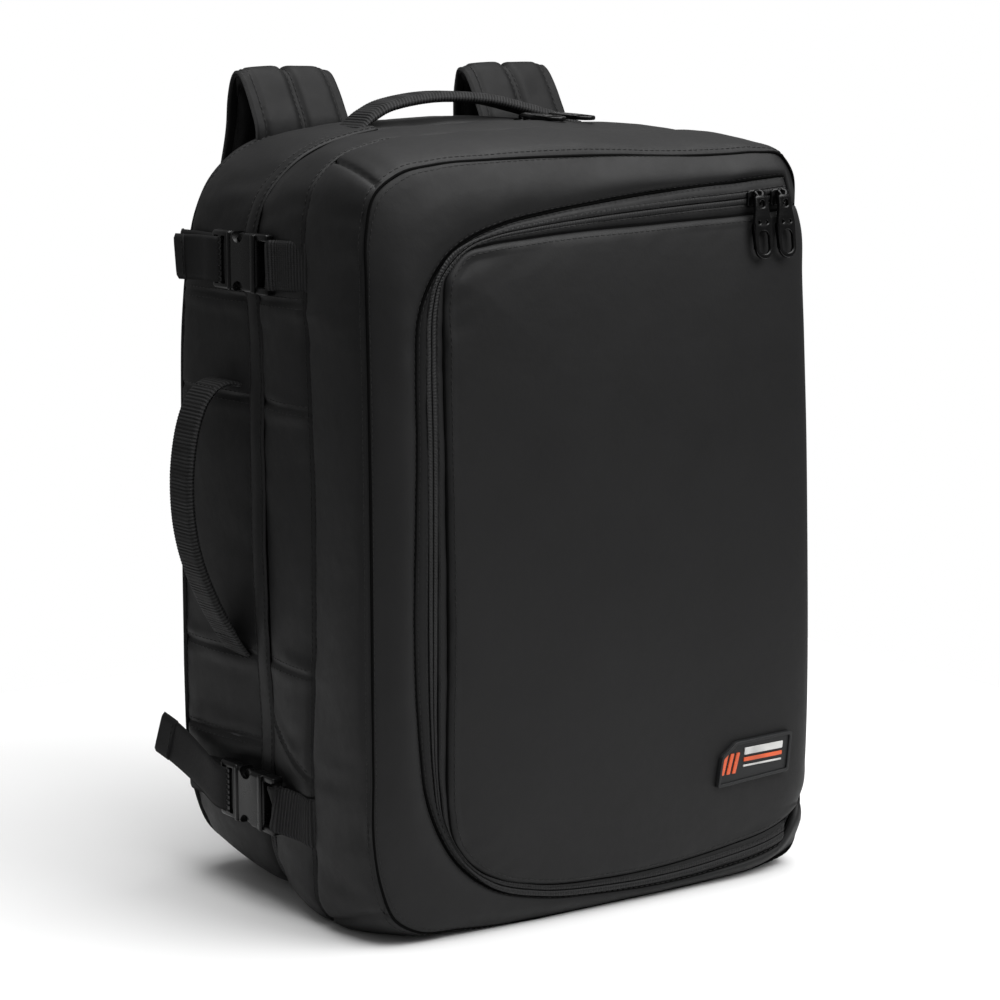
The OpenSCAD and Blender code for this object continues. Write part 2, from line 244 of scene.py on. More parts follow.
def ribbon(name, path, wdir, width, thick, mat, body, nw=12, ribs=0, rib_h=0.0, edge=None, step=0.6, lobes=None, cap=True, wave=None):
    """A strap swept along a path: rounded edges, optional cross ribs, optional lobed (padded) section."""
    path = np.asarray(path, float)
    p = resample(path, step=step)
    n = len(p)
    t = unit(np.gradient(p, axis=0))
    wd = np.asarray(wdir, float)
    wd = np.broadcast_to(wd, (n, 3)) if wd.ndim == 1 else np.stack([np.interp(np.linspace(0, 1, n), np.linspace(0, 1, len(wd)), wd[:, k]) for k in range(3)], 1)
    w = unit(wd - (wd * t).sum(1, keepdims=True) * t)
    u = np.cross(t, w)
    s = np.concatenate([[0], np.cumsum(np.linalg.norm(np.diff(p, axis=0), axis=1))])
    ww = np.interp(s / s[-1], np.linspace(0, 1, len(width)), width) if np.ndim(width) else np.full(n, float(width))
    tt = np.interp(s / s[-1], np.linspace(0, 1, len(thick)), thick) if np.ndim(thick) else np.full(n, float(thick))
    # section, once round: top from -1 to 1, then bottom back
    x = np.concatenate([np.linspace(-1, 1, nw), np.linspace(1, -1, nw)])
    top = np.concatenate([np.ones(nw), -np.ones(nw)])
    e = 1 - np.abs(x) ** 8
    prof = np.where(np.abs(x) > 0.999, 0.0, np.sqrt(np.maximum(e, 0.0)))
    xs = np.sign(x) * np.minimum(np.abs(x), 1)
    sec_x, sec_y = xs, prof * top
    P = p[:, None, :] + w[:, None, :] * (sec_x[None, :, None] * ww[:, None, None] / 2)
    h = sec_y[None, :] * tt[:, None] / 2
    if lobes is not None:
        h = h * lobes(s[:, None] / s[-1], sec_x[None, :], top[None, :])
    if ribs:
        h = h + top[None, :] * rib_h * (0.5 + 0.5 * np.cos(2 * np.pi * s[:, None] / ribs)) * (np.abs(sec_x) < 0.97)[None, :]
    P = P + u[:, None, :] * h[:, :, None]
    if wave is not None:
        P = P + u[:, None, :] * wave(P)[:, :, None]
    m = P.shape[1]
    uv = np.stack([np.broadcast_to((sec_x[None, :] * ww[:, None] / 2), (n, m)), np.broadcast_to(s[:, None], (n, m))], -1)
    faces = grid_faces(n, m, False, True)
    if cap:
        faces += [tuple(range(m))[::-1], tuple((n - 1) * m + k for k in range(m))]
    o = finish_mesh(name, P.reshape(-1, 3), faces, mat, None, uv=uv.reshape(-1, 2))
    outward(o)
    if body:
        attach(o, body)
    return o


def stitches(name, runs, mat, body, length=2.7, gap=1.0, r=0.24, lift=0.12):
    """Rows of thread: short capsules along each run. A run is (points, outward normals)."""
    V, F = [], []
    prof = [(-0.5, 0.0), (-0.42, 0.75), (-0.2, 1.0), (0.2, 1.0), (0.42, 0.75), (0.5, 0.0)]
    for pts, nrm in runs:
        pts, nrm = np.asarray(pts, float), np.asarray(nrm, float)
        s = np.concatenate([[0], np.cumsum(np.linalg.norm(np.diff(pts, axis=0), axis=1))])
        if s[-1] < length:
            continue
        k = int(s[-1] // (length + gap))
        c = (np.arange(k) + 0.5) * s[-1] / k
        ip = lambda u, a: np.stack([np.interp(u, s, a[:, j]) for j in range(3)], 1)
        C, A, B, N = ip(c, pts), ip(c - length / 2, pts), ip(c + length / 2, pts), unit(ip(c, nrm))
        T = unit(B - A)
        N = unit(N - (N * T).sum(1, keepdims=True) * T)
        W = np.cross(T, N)
        for i in range(k):
            base = len(V)
            for (a, rr) in prof:
                q = C[i] + T[i] * a * length + N[i] * (lift - 0.25 * (abs(a) * 2) ** 3 * r * 2)
                for g in range(6):
                    an = g * math.pi / 3
                    V.append(q + (N[i] * math.cos(an) + W[i] * math.sin(an)) * rr * r)
            for a in range(len(prof) - 1):
                for g in range(6):
                    F.append((base + a * 6 + g, base + a * 6 + (g + 1) % 6, base + (a + 1) * 6 + (g + 1) % 6, base + (a + 1) * 6 + g))
    if not V:
        return None
    o = finish_mesh(name, V, F, mat, body)
    bm = bmesh.new(); bm.from_mesh(o.data)
    bmesh.ops.remove_doubles(bm, verts=bm.verts, dist=1e-6)
    bmesh.ops.recalc_face_normals(bm, faces=bm.faces)
    bm.to_mesh(o.data); bm.free()
    return o


def plate(name, loops, thick, bevel, origin, ex, ey, mat, body, res=3):
    """A moulded plate: 2-D outline loops (the first is the outside, the rest holes), extruded with rounded edges.
    ex and ey span the plate, and its thickness runs along their cross product, centred on origin."""
    cu = bpy.data.curves.new(name, "CURVE")
    cu.dimensions = "2D"
    cu.fill_mode = "BOTH"
    cu.extrude = max(thick / 2 - bevel, 0.01) * MM
    cu.bevel_depth = bevel * MM
    cu.bevel_resolution = res
    cu.offset = -bevel * MM
    for lp in loops:
        sp = cu.splines.new("POLY")
        sp.points.add(len(lp) - 1)
        for k, (a, b) in enumerate(lp):
            sp.points[k].co = (a * MM, b * MM, 0, 1)
        sp.use_cyclic_u = True
    tmp = bpy.data.objects.new(name, cu)
    scene.collection.objects.link(tmp)
    bpy.context.view_layer.update()
    me = bpy.data.meshes.new_from_object(tmp.evaluated_get(bpy.context.evaluated_depsgraph_get()))
    bpy.data.objects.remove(tmp)
    co = np.zeros(len(me.vertices) * 3)
    me.vertices.foreach_get("co", co)
    co = co.reshape(-1, 3) / MM
    ex, ey = np.asarray(ex, float), np.asarray(ey, float)
    ez = np.cross(ex, ey)
    V = np.asarray(origin, float) + co[:, :1] * ex + co[:, 1:2] * ey + co[:, 2:3] * ez
    me.vertices.foreach_set("co", (V * MM).astype(np.float32).ravel())
    me.materials.clear()
    me.materials.append(mat)
    me.update()
    bm = bmesh.new(); bm.from_mesh(me)
    bmesh.ops.remove_doubles(bm, verts=bm.verts, dist=2e-6)
    bmesh.ops.recalc_face_normals(bm, faces=bm.faces)
    for f in bm.faces:
        f.smooth = True
    bm.to_mesh(me); bm.free()
    me.name = name
    o = bpy.data.objects.new(name, me)
    scene.collection.objects.link(o)
    sharp(o, 40)
    if body:
        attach(o, body)
    return o


def sharp(o, degrees=35):
    """Marks edges sharper than this so that smooth shading doesn't smear over them."""
    bm = bmesh.new(); bm.from_mesh(o.data)
    lim = math.radians(degrees)
    for e in bm.edges:
        if len(e.link_faces) == 2 and e.calc_face_angle(0) > lim:
            e.smooth = False
    bm.to_mesh(o.data); bm.free()


def arc(cx, cy, r, a0, a1, n=10):
    return [(cx + r * math.cos(math.radians(a0 + (a1 - a0) * i / n)), cy + r * math.sin(math.radians(a0 + (a1 - a0) * i / n))) for i in range(n + 1)]


def rrect2(x0, x1, y0, y1, r, n=6):
    return arc(x1 - r, y1 - r, r, 0, 90, n) + arc(x0 + r, y1 - r, r, 90, 180, n) + arc(x0 + r, y0 + r, r, 180, 270, n) + arc(x1 - r, y0 + r, r, 270, 360, n)


def rod(name, a, b, r, mat, body, n=16, dome=0.5):
    """A round bar with rounded ends."""
    a, b = np.asarray(a, float), np.asarray(b, float)
    t = unit(b - a)
    h = np.array([0, 0, 1.0]) if abs(t[2]) < 0.9 else np.array([1.0, 0, 0])
    w = unit(np.cross(t, h)); u = np.cross(t, w)
    L = np.linalg.norm(b - a)
    prof = [(0, r - dome), (dome * 0.3, r - dome * 0.3), (dome, r), (L - dome, r), (L - dome * 0.3, r - dome * 0.3), (L, r - dome)]
    V = [a + t * s + (w * math.cos(2 * math.pi * k / n) + u * math.sin(2 * math.pi * k / n)) * max(rr, 0.01) for s, rr in prof for k in range(n)]
    F = grid_faces(len(prof), n, False, True)
    F += [tuple(range(n))[::-1], tuple((len(prof) - 1) * n + k for k in range(n))]
    o = finish_mesh(name, V, F, mat, None)
    outward(o)
    sharp(o, 50)
    if body:
        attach(o, body)
    return o


def rbox(name, lo, hi, bevel, mat, body, seg=3):
    bm = bmesh.new()
    bmesh.ops.create_cube(bm, size=1)
    lo, hi = np.asarray(lo, float), np.asarray(hi, float)
    for v in bm.verts:
        v.co = Vector(((lo + hi) / 2 + np.array(v.co) * (hi - lo)) * MM)
    bmesh.ops.bevel(bm, geom=list(bm.edges), offset=bevel * MM, segments=seg, affect="EDGES", profile=0.5)
    me = bpy.data.meshes.new(name)
    for f in bm.faces:
        f.smooth = True
    bm.to_mesh(me); bm.free()
    me.materials.append(mat)
    o = bpy.data.objects.new(name, me)
    scene.collection.objects.link(o)
    sharp(o, 60)
    if body:
        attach(o, body)
    return o


# ------------------------------------------------------------------ materials
class Mat:
    def __init__(self, name):
        self.m = bpy.data.materials.new(name)
        self.m.use_nodes = True
        self.t = self.m.node_tree
        self.b = self.t.nodes["Principled BSDF"]

    def n(self, kind, **kw):
        node = self.t.nodes.new(kind)
        for k, v in kw.items():
            if k in node.inputs.keys():
                node.inputs[k].default_value = v
            else:
                setattr(node, k, v)
        return node

    def l(self, a, b):
        self.t.links.new(a, b)

    def coords(self, what="Object"):
        return self.n("ShaderNodeTexCoord").outputs[what]

    def noise(self, vec, scale, detail=3, rough=0.5):
        t = self.n("ShaderNodeTexNoise", Scale=scale, Detail=detail, Roughness=rough)
        self.l(vec, t.inputs["Vector"])
        return t.outputs["Fac"]

    def rng(self, x, a, b, c, d):
        r = self.n("ShaderNodeMapRange")
        r.inputs["From Min"].default_value = a
        r.inputs["From Max"].default_value = b
        r.inputs["To Min"].default_value = c
        r.inputs["To Max"].default_value = d
        self.l(x, r.inputs["Value"])
        return r.outputs["Result"]

    def math(self, op, a, b=None):
        m = self.n("ShaderNodeMath", operation=op)
        for i, v in enumerate((a, b)):
            if v is None:
                continue
            if isinstance(v, (int, float)):
                m.inputs[i].default_value = v
            else:
                self.l(v, m.inputs[i])
        return m.outputs[0]

    def mixcol(self, fac, a, b):
        m = self.n("ShaderNodeMix", data_type="RGBA")
        if isinstance(fac, float):
            m.inputs[0].default_value = fac
        else:
            self.l(fac, m.inputs[0])
        for i, v in ((6, a), (7, b)):
            if isinstance(v, tuple):
                m.inputs[i].default_value = (*v, 1)
            else:
                self.l(v, m.inputs[i])
        return m.outputs[2]

    def bump(self, height, strength, dist, normal=None):
        b = self.n("ShaderNodeBump", Strength=strength, Distance=dist)
        self.l(height, b.inputs["Height"])
        if normal is not None:
            self.l(normal, b.inputs["Normal"])
        return b.outputs["Normal"]

    def wave(self, vec, direction, scale, profile="SIN", distort=0.0):
        w = self.n("ShaderNodeTexWave", Scale=scale, Distortion=distort)
        w.wave_type = "BANDS"
        w.bands_direction = direction
        w.wave_profile = profile
        self.l(vec, w.inputs["Vector"])
        return w.outputs["Fac"]


def fabric_mat(name, dark, light, rough=(0.5, 0.62), thread=0.42, weave=0.10, sheen=0.0, uv=True, crinkle=0.25, spec=0.22):
    """Coated polyester: plain weave at thread millimetres, fine crinkle, a little uneven sheen."""
    M = Mat(name)
    obj = M.coords("Object")
    vec = M.coords("UV") if uv else obj
    k = 1 / (thread * MM) * 0.0503 * 3.14159 * 2  # the wave texture's own period is 2 pi / 20 units
    if uv:
        a = M.wave(vec, "X", k)
        b = M.wave(vec, "Y", k)
        w = M.math("MULTIPLY", a, b)
    else:
        a = M.wave(vec, "X", k); b = M.wave(vec, "Y", k); c = M.wave(vec, "Z", k)
        w = M.math("MULTIPLY", M.math("ADD", a, b), c)
    big = M.noise(obj, 14, 4, 0.55)
    mid = M.noise(obj, 160, 3, 0.6)
    fine = M.noise(obj, 1500, 2, 0.6)
    f = M.rng(M.math("ADD", M.math("MULTIPLY", big, 0.6), M.math("MULTIPLY", fine, 0.4)), 0.3, 0.7, 0, 1)
    M.l(M.mixcol(f, dark, light), M.b.inputs["Base Color"])
    M.l(M.rng(M.math("ADD", M.math("MULTIPLY", big, 0.5), M.math("MULTIPLY", mid, 0.5)), 0.3, 0.7, rough[0], rough[1]), M.b.inputs["Roughness"])
    nrm = M.bump(big, 0.25, 0.004)
    nrm = M.bump(mid, crinkle, 0.0006, nrm)
    nrm = M.bump(w, weave, 0.00025, nrm)
    M.l(nrm, M.b.inputs["Normal"])
    M.b.inputs["Sheen Weight"].default_value = sheen
    M.b.inputs["Sheen Roughness"].default_value = 0.45
    M.b.inputs["Specular IOR Level"].default_value = spec
    return M.m


def web_mat(name, dark, light, rib=1.5, strength=0.6, rough=(0.55, 0.75), across=True):
    """Webbing: ribs across the length with a fine herringbone over them. UV y runs along the strap."""
    M = Mat(name)
    vec = M.coords("UV")
    obj = M.coords("Object")
    k = 1 / (rib * MM) * 0.0503 * 3.14159 * 2
    r = M.wave(vec, "Y", k)
    c = M.wave(vec, "X", k * 1.9)
    d = M.wave(vec, "DIAGONAL", k * 2.6)
    h = M.math("ADD", M.math("MULTIPLY", r, 0.7 if across else 0.25), M.math("MULTIPLY", M.math("MULTIPLY", c, d), 0.3))
    n = M.noise(obj, 700, 3, 0.6)
    big = M.noise(obj, 40, 3, 0.5)
    M.l(M.mixcol(M.rng(M.math("ADD", M.math("MULTIPLY", r, 0.5), M.math("MULTIPLY", n, 0.5)), 0.2, 0.8, 0, 1), dark, light), M.b.inputs["Base Color"])
    M.l(M.rng(M.math("ADD", big, n), 0.7, 1.3, rough[0], rough[1]), M.b.inputs["Roughness"])
    nrm = M.bump(n, 0.25, 0.0003)
    nrm = M.bump(h, strength, 0.0004, nrm)
    M.l(nrm, M.b.inputs["Normal"])
    M.b.inputs["Specular IOR Level"].default_value = 0.16
    return M.m


def plastic_mat(name, col, rough=(0.28, 0.42), grain=0.12, spec=0.5, coat=0.0):
    M = Mat(name)
    obj = M.coords("Object")
    a = M.noise(obj, 900, 4, 0.65)
    b = M.noise(obj, 60, 3, 0.5)
    M.l(M.mixcol(M.rng(b, 0.35, 0.65, 0, 1), tuple(c * 0.85 for c in col), tuple(c * 1.2 for c in col)), M.b.inputs["Base Color"])
    M.l(M.rng(M.math("ADD", M.math("MULTIPLY", a, 0.4), M.math("MULTIPLY", b, 0.6)), 0.35, 0.65, rough[0], rough[1]), M.b.inputs["Roughness"])
    M.l(M.bump(a, grain, 0.0001), M.b.inputs["Normal"])
    M.b.inputs["Specular IOR Level"].default_value = spec
    M.b.inputs["Coat Weight"].default_value = coat
    M.b.inputs["Coat Roughness"].default_value = 0.12
    return M.m


def mesh_mat(name, dark, light):
    """Spacer mesh: a honeycomb of small holes."""
    M = Mat(name)
    obj = M.coords("Object")
    v = M.n("ShaderNodeTexVoronoi", Scale=420.0)
    v.feature = "F1"
    M.l(obj, v.inputs["Vector"])
    d = v.outputs["Distance"]
    big = M.noise(obj, 20, 3, 0.5)
    M.l(M.mixcol(M.rng(d, 0.15, 0.55, 0, 1), dark, light), M.b.inputs["Base Color"])
    M.l(M.rng(big, 0.3, 0.7, 0.7, 0.9), M.b.inputs["Roughness"])
    M.l(M.bump(d, 0.7, 0.0008), M.b.inputs["Normal"])
    M.b.inputs["Sheen Weight"].default_value = 0.3
    M.b.inputs["Specular IOR Level"].default_value = 0.2
    return M.m


FAB = fabric_mat("coated_polyester", (0.0060, 0.0060, 0.0062), (0.0085, 0.0085, 0.0087), spec=0.2)
FAB_O = fabric_mat("coated_polyester_pad", (0.009, 0.009, 0.0092), (0.013, 0.013, 0.0133), uv=False, rough=(0.55, 0.68), spec=0.2)
FAB_S = fabric_mat("strap_cloth", (0.0040, 0.0040, 0.0041), (0.0058, 0.0058, 0.0060), spec=0.13)
LINING = fabric_mat("lining_cloth", (0.022, 0.022, 0.024), (0.034, 0.034, 0.037), rough=(0.5, 0.7), thread=0.5, weave=0.25, sheen=0.2)
LINING_O = fabric_mat("lining_cloth_plain", (0.022, 0.022, 0.024), (0.034, 0.034, 0.037), rough=(0.5, 0.7), thread=0.5, weave=0.2, sheen=0.2, uv=False)
WEB = web_mat("grosgrain_webbing", (0.0010, 0.0010, 0.0010), (0.022, 0.022, 0.0225), rib=2.0, strength=1.0, rough=(0.6, 0.8))
WEB_S = web_mat("smooth_webbing", (0.0045, 0.0045, 0.0047), (0.0085, 0.0085, 0.0088), rib=0.8, strength=0.25, rough=(0.58, 0.72))
TAPE = web_mat("zip_tape", (0.004, 0.004, 0.0042), (0.010, 0.010, 0.0104), rib=0.9, strength=0.35)
COIL = plastic_mat("zip_coil", (0.008, 0.008, 0.0083), rough=(0.5, 0.62), grain=0.05, spec=0.28)
# painted shadow: the near-black, matte material of the cords that darken the seam grooves
SEAM_SHADOW = plastic_mat("painted_seam_shadow", (0.0016, 0.0016, 0.0016), rough=(0.85, 0.95), grain=0.3, spec=0.05)
THREAD = plastic_mat("thread", (0.006, 0.006, 0.006), rough=(0.5, 0.7), grain=0.3, spec=0.3)
ACETAL = plastic_mat("satin_acetal", (0.0022, 0.0022, 0.0023), rough=(0.24, 0.34), grain=0.10, spec=0.22)
GLOSS = plastic_mat("gloss_black_metal", (0.0015, 0.0015, 0.0016), rough=(0.16, 0.26), grain=0.03, spec=0.24)
RUBBER = plastic_mat("moulded_rubber", (0.006, 0.0065, 0.007), rough=(0.45, 0.6), grain=0.25, spec=0.3)
ORANGE = plastic_mat("orange_inlay", (0.50, 0.07, 0.015), rough=(0.4, 0.5), grain=0.1)
WHITE = plastic_mat("white_inlay", (0.42, 0.42, 0.41), rough=(0.4, 0.5), grain=0.1)
MESH = mesh_mat("spacer_mesh", (0.008, 0.008, 0.0085), (0.035, 0.035, 0.037))
BOARD = plastic_mat("stiffener_board", (0.05, 0.05, 0.052), rough=(0.5, 0.65), grain=0.3)


# ------------------------------------------------------------------ the bag's rings (x, z) at four seams
RING_A = [(0, -6), (-50, -5.5), (-92, -2.5), (-118, 0.5), (-132, 9), (-141, 28), (-145.3, 51), (-145.6, 90), (-145.9, 140), (-146.1, 200), (-146.6, 260), (-147.3, 310), (-148, 345), (-148, 368), (-142.5, 388.5), (-127, 399), (-106, 402.8), (-72, 404.3), (-30, 404.6), (10, 404.1), (50, 402.4), (85, 402.2), (107, 402.6), (124, 400.6), (132.6, 391), (134.8, 368), (135.4, 335), (136.4, 300), (138.9, 240), (140.4, 190), (141.6, 148), (143.0, 100), (144.6, 55), (145.2, 22), (139, 4.0), (118, -2.5), (82, -5), (42, -6)]
RING_B = [(0, -5), (-50, -5), (-92, -5), (-121, -4.8), (-136, -1.5), (-143.5, 8.5), (-146, 29), (-146, 90), (-145.4, 140), (-144.8, 200), (-145.2, 260), (-147.0, 310), (-148.8, 345), (-148.4, 372), (-142.5, 391), (-126.5, 405), (-106, 410.5), (-72, 412.5), (-30, 413.5), (10, 413), (50, 411.5), (86, 411), (108, 408), (124, 400.5), (132, 387), (136, 364), (138.7, 335), (140.8, 300), (143.5, 240), (145.2, 190), (146.3, 148), (147, 100), (147.2, 34), (144.5, 10), (136, -1), (118, -4.5), (82, -3), (42, -4.8)]
RING_C = [(0, -5), (-50, -4), (-88, -1), (-114, -1.5), (-130.0, 6.5), (-138.5, 23), (-140.5, 50), (-140.5, 95), (-142.8, 140), (-145, 190), (-145.6, 260), (-145.6, 310), (-148, 342), (-147.5, 364), (-140.5, 381), (-128, 394), (-107, 406), (-75, 413.5), (-30, 416), (10, 416), (50, 414.5), (86, 412.5), (107, 406.5), (123.5, 397), (132, 382), (136, 355), (138.7, 330), (140.8, 300), (143.2, 240), (144.5, 190), (143.2, 140), (141.5, 95), (141, 50), (138, 21), (130, 5), (114, -2.5), (86, -1), (45, -4)]
RING_D = [(0, -2), (-50, -2), (-90, 0), (-116, 6), (-134, 20), (-144, 44), (-147.5, 70), (-148.5, 100), (-148.6, 140), (-148.5, 195), (-147.8, 255), (-146, 312), (-142, 346), (-137, 368), (-128, 385.5), (-113, 399), (-95, 407), (-70, 411), (-30, 412.3), (10, 412.3), (50, 411), (82, 406.5), (101, 399), (117, 386.5), (128, 370), (134, 350), (138.2, 325), (141.2, 295), (144, 240), (145.5, 190), (146, 140), (146, 100), (145, 68), (141.5, 42), (131.5, 19), (114, 6), (88, 0), (45, -2)]
KEY_Y = [-96.0, -42.0, 12.0, 90.0]
KEYS = [np.array(r, float) + (0, ZS) for r in (RING_A, RING_B, RING_C, RING_D)]


def counts_for(ctrl, step):
    n = len(ctrl)
    out = []
    for i in range(n):
        d = np.linalg.norm(ctrl[(i + 1) % n] - ctrl[i])
        out.append(max(2, int(round(d / step(i)))))
    return out


def smooth_loop(ctrl, counts, closed=True):
    """A cubic through the control points whose tangents allow for uneven spacing; counts gives the samples in each interval."""
    p = np.asarray(ctrl, float)
    n = len(p)
    if closed:
        prev, nxt = np.roll(p, 1, 0), np.roll(p, -1, 0)
    else:
        prev = np.vstack([2 * p[0] - p[1], p[:-1]])
        nxt = np.vstack([p[1:], 2 * p[-1] - p[-2]])
    d0 = np.linalg.norm(p - prev, axis=1)[:, None]
    d1 = np.linalg.norm(nxt - p, axis=1)[:, None]
    tan = ((p - prev) / d0 * d1 + (nxt - p) / d1 * d0) / (d0 + d1)
    out = []
    for i in range(n if closed else n - 1):
        a, b = p[i], p[(i + 1) % n]
        L = np.linalg.norm(b - a)
        t = (np.arange(counts[i]) / counts[i])[:, None]
        out.append((2 * t ** 3 - 3 * t ** 2 + 1) * a + (t ** 3 - 2 * t ** 2 + t) * tan[i] * L + (-2 * t ** 3 + 3 * t ** 2) * b + (t ** 3 - t ** 2) * tan[(i + 1) % n] * L)
    if not closed:
        out.append(p[-1][None])
    return np.vstack(out)


def step_for(i):
    if 4 <= i <= 15:
        return 1.5
    if 16 <= i <= 23:
        return 2.2
    if 24 <= i <= 33:
        return 2.4
    return 3.5


COUNTS = counts_for(KEYS[1], step_for)
STARTS = np.concatenate([[0], np.cumsum(COUNTS)])[:-1]
NR = int(sum(COUNTS))


def ctrl_at(y):
    y = min(max(y, KEY_Y[0]), KEY_Y[-1])
    for k in range(3):
        if y <= KEY_Y[k + 1]:
            t = (y - KEY_Y[k]) / (KEY_Y[k + 1] - KEY_Y[k])
            return KEYS[k] * (1 - t) + KEYS[k + 1] * t
    return KEYS[-1]


def ring_at(y, inset=0.0):
    r = smooth_loop(ctrl_at(y), COUNTS)
    if inset:
        r = r - out2(r) * inset
    return r


def out2(r, closed=True):
    """Outward unit normals of a ring that runs clockwise seen from the front (bottom, left, top, right)."""
    if closed:
        t = np.roll(r, -1, 0) - np.roll(r, 1, 0)
    else:
        t = np.gradient(r, axis=0)
    t = t / np.maximum(np.linalg.norm(t, axis=1)[:, None], 1e-9)
    return np.stack([-t[:, 1], t[:, 0]], 1)


W_BIG = Waves(11, 120)
W_MID = Waves(12, 42)
W_SML = Waves(13, 15)
W_FOLD = Waves(14, 24, stretch=(1, 0.35, 1))
W_FOLD2 = Waves(15, 60, stretch=(1, 0.5, 1))


def grid_normals(P, wrap=True):
    du = (np.roll(P, -1, 0) - np.roll(P, 1, 0)) if wrap else np.gradient(P, axis=0)
    dv = np.gradient(P, axis=1)
    return unit(np.cross(du, dv))


class Skin:
    """One band of cloth round the bag between two values of y, with its seams, puckers and stitching."""

    def __init__(self, y0, y1, bulge, rows, seams=(), seed=0, amount=1.0, yfun=None, edge=3.0, corner=0.0, mitres=()):
        a = np.linspace(0, 1, rows)
        v = 0.5 * a + 0.5 * (1 - np.cos(np.pi * a)) / 2
        width = y1 - y0
        P = np.zeros((NR, rows, 3))
        for j, vv in enumerate(v):
            y = y0 + width * vv
            r = ring_at(y)
            n = out2(r)
            prof = np.sin(np.pi * vv) ** 0.62
            e = math.exp(-vv * width / 1.5) + math.exp(-(1 - vv) * width / 1.5)
            r2 = r + n * (bulge * prof - edge * e)
            P[:, j, 0], P[:, j, 2] = r2[:, 0], r2[:, 1]
            P[:, j, 1] = y
        self.v, self.width, self.y0, self.y1 = v, width, y0, y1
        N = grid_normals(P)
        if (N[:, rows // 2, 0] * P[:, rows // 2, 0]).sum() < 0:
            N = -N
        self.sign = 1
        near0 = np.exp(-v * width / 8.0)[None, :]
        near1 = np.exp(-(1 - v) * width / 8.0)[None, :]
        mid = np.clip(np.minimum(v, 1 - v) * width / 5.0, 0, 1)[None, :]
        flat = P.reshape(-1, 3)
        sh = P.shape[:2]
        d = (0.75 * W_BIG(flat + seed) + 0.22 * W_MID(flat + seed) + 0.05 * W_SML(flat + seed)).reshape(sh) * mid
        d += (near0 + near1) * mid * 0.30 * W_FOLD(flat + seed * 3).reshape(sh)
        x, y, z = P[..., 0], P[..., 1], P[..., 2]
        side = sstep(112, 135, np.abs(x))
        # gathers in the rounded corners
        tl = np.exp(-(((np.abs(x) - 128) / 26) ** 2) - ((z - 392) / 30) ** 2)
        bl = np.exp(-(((np.abs(x) - 128) / 26) ** 2) - ((z - 28) / 30) ** 2)
        gather = W_FOLD(flat * 1.25 + 40).reshape(sh)
        d += corner * (tl + bl) * gather * mid * (0.5 + 0.5 * (near0 + near1))
        # the straps draw the cloth in
        for zs, deep in ((353, 1.7), (61, 2.0)):
            d -= side * deep * np.exp(-((z - zs) / 15) ** 2) * mid
            fan = Waves(int(zs), 17, stretch=(0.2, 0.35, 1))(flat).reshape(sh)
            d += side * 0.45 * fan * (np.exp(-((z - zs - 26) / 15) ** 2) + np.exp(-((z - zs + 26) / 15) ** 2)) * mid
        for s in seams:
            ys, zs = zip(*s["pts"])
            z0 = np.interp(y, ys, zs)
            on = (x < -120) if s.get("side", -1) < 0 else (x > 120)
            on = on & (y > min(ys) - 0.5) & (y < max(ys) + 0.5)
            dz = z - z0
            d += on * mid * (-1.1 * np.exp(-(dz / 1.2) ** 2) + 0.45 * np.exp(-((np.abs(dz) - 5) / 4) ** 2) + 0.35 * np.exp(-(dz / 9) ** 2) * W_FOLD(flat * 1.5 + 9).reshape(sh))
        ii = np.arange(NR)[:, None]
        for (a0, a1) in mitres:
            i0 = a0 * (1 - v)[None, :] + a1 * v[None, :]
            di = (ii - i0) * 1.5
            d += -2.2 * np.exp(-(di / 1.1) ** 2) + 0.5 * np.exp(-((np.abs(di) - 5) / 4) ** 2) * mid
        P = P + N * (d * amount)[..., None]
        if yfun is not None:
            P[..., 1] += yfun(P, v)
        P[..., 2] = np.maximum(P[..., 2], 0.25)
        self.P = P
        self.N = grid_normals(P)
        if (self.N[:, rows // 2, 0] * P[:, rows // 2, 0]).sum() < 0:
            self.N = -self.N
        r = ring_at((y0 + y1) / 2)
        self.s = np.concatenate([[0], np.cumsum(np.linalg.norm(np.roll(r, -1, 0) - r, axis=1))])[:-1]

    def mesh(self, name, body, mat=None, thick=1.2):
        n, m = self.P.shape[:2]
        cols = sorted(set([0, m // 4, m // 2, 3 * m // 4, m - 1]))
        inner = self.P[:, cols] - self.N[:, cols] * thick
        inner[..., 2] = np.maximum(inner[..., 2], 0.8)
        k = len(cols)
        V = np.concatenate([self.P.reshape(-1, 3), inner.reshape(-1, 3)])
        uv = np.concatenate([np.stack([np.broadcast_to(self.s[:, None], (n, m)), np.broadcast_to(self.v[None] * self.width, (n, m))], -1).reshape(-1, 2), np.stack([np.broadcast_to(self.s[:, None], (n, k)), np.broadcast_to(self.v[None, cols] * self.width, (n, k))], -1).reshape(-1, 2)])
        F = grid_faces(n, m, True, False)
        b = n * m
        G = grid_faces(n, k, True, False, base=b, flip=True)
        S = []
        for i in range(n):
            i2 = (i + 1) % n
            S.append((i * m, i2 * m, b + i2 * k, b + i * k))
            S.append((i2 * m + m - 1, i * m + m - 1, b + i * k + k - 1, b + i2 * k + k - 1))
        o = finish_mesh(name, V, F + G + S, [mat or FAB, LINING_O], None, mat_index=[0] * len(F) + [1] * (len(G)) + [0] * len(S), uv=uv)
        outward(o)
        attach(o, body)
        return o

    def row(self, mm, i0=0, i1=None, lift=0.0):
        """Points and normals along the band, mm from its front edge (or from its back edge if negative)."""
        vv = mm / self.width if mm >= 0 else 1 + mm / self.width
        j = np.interp(vv, self.v, np.arange(len(self.v)))
        j0 = int(min(j, len(self.v) - 2)); t = j - j0
        P = self.P[:, j0] * (1 - t) + self.P[:, j0 + 1] * t
        N = self.N[:, j0]
        idx = np.arange(i0, (i1 if i1 is not None else len(P) + 1)) % len(P)
        return P[idx] + N[idx] * lift, N[idx]

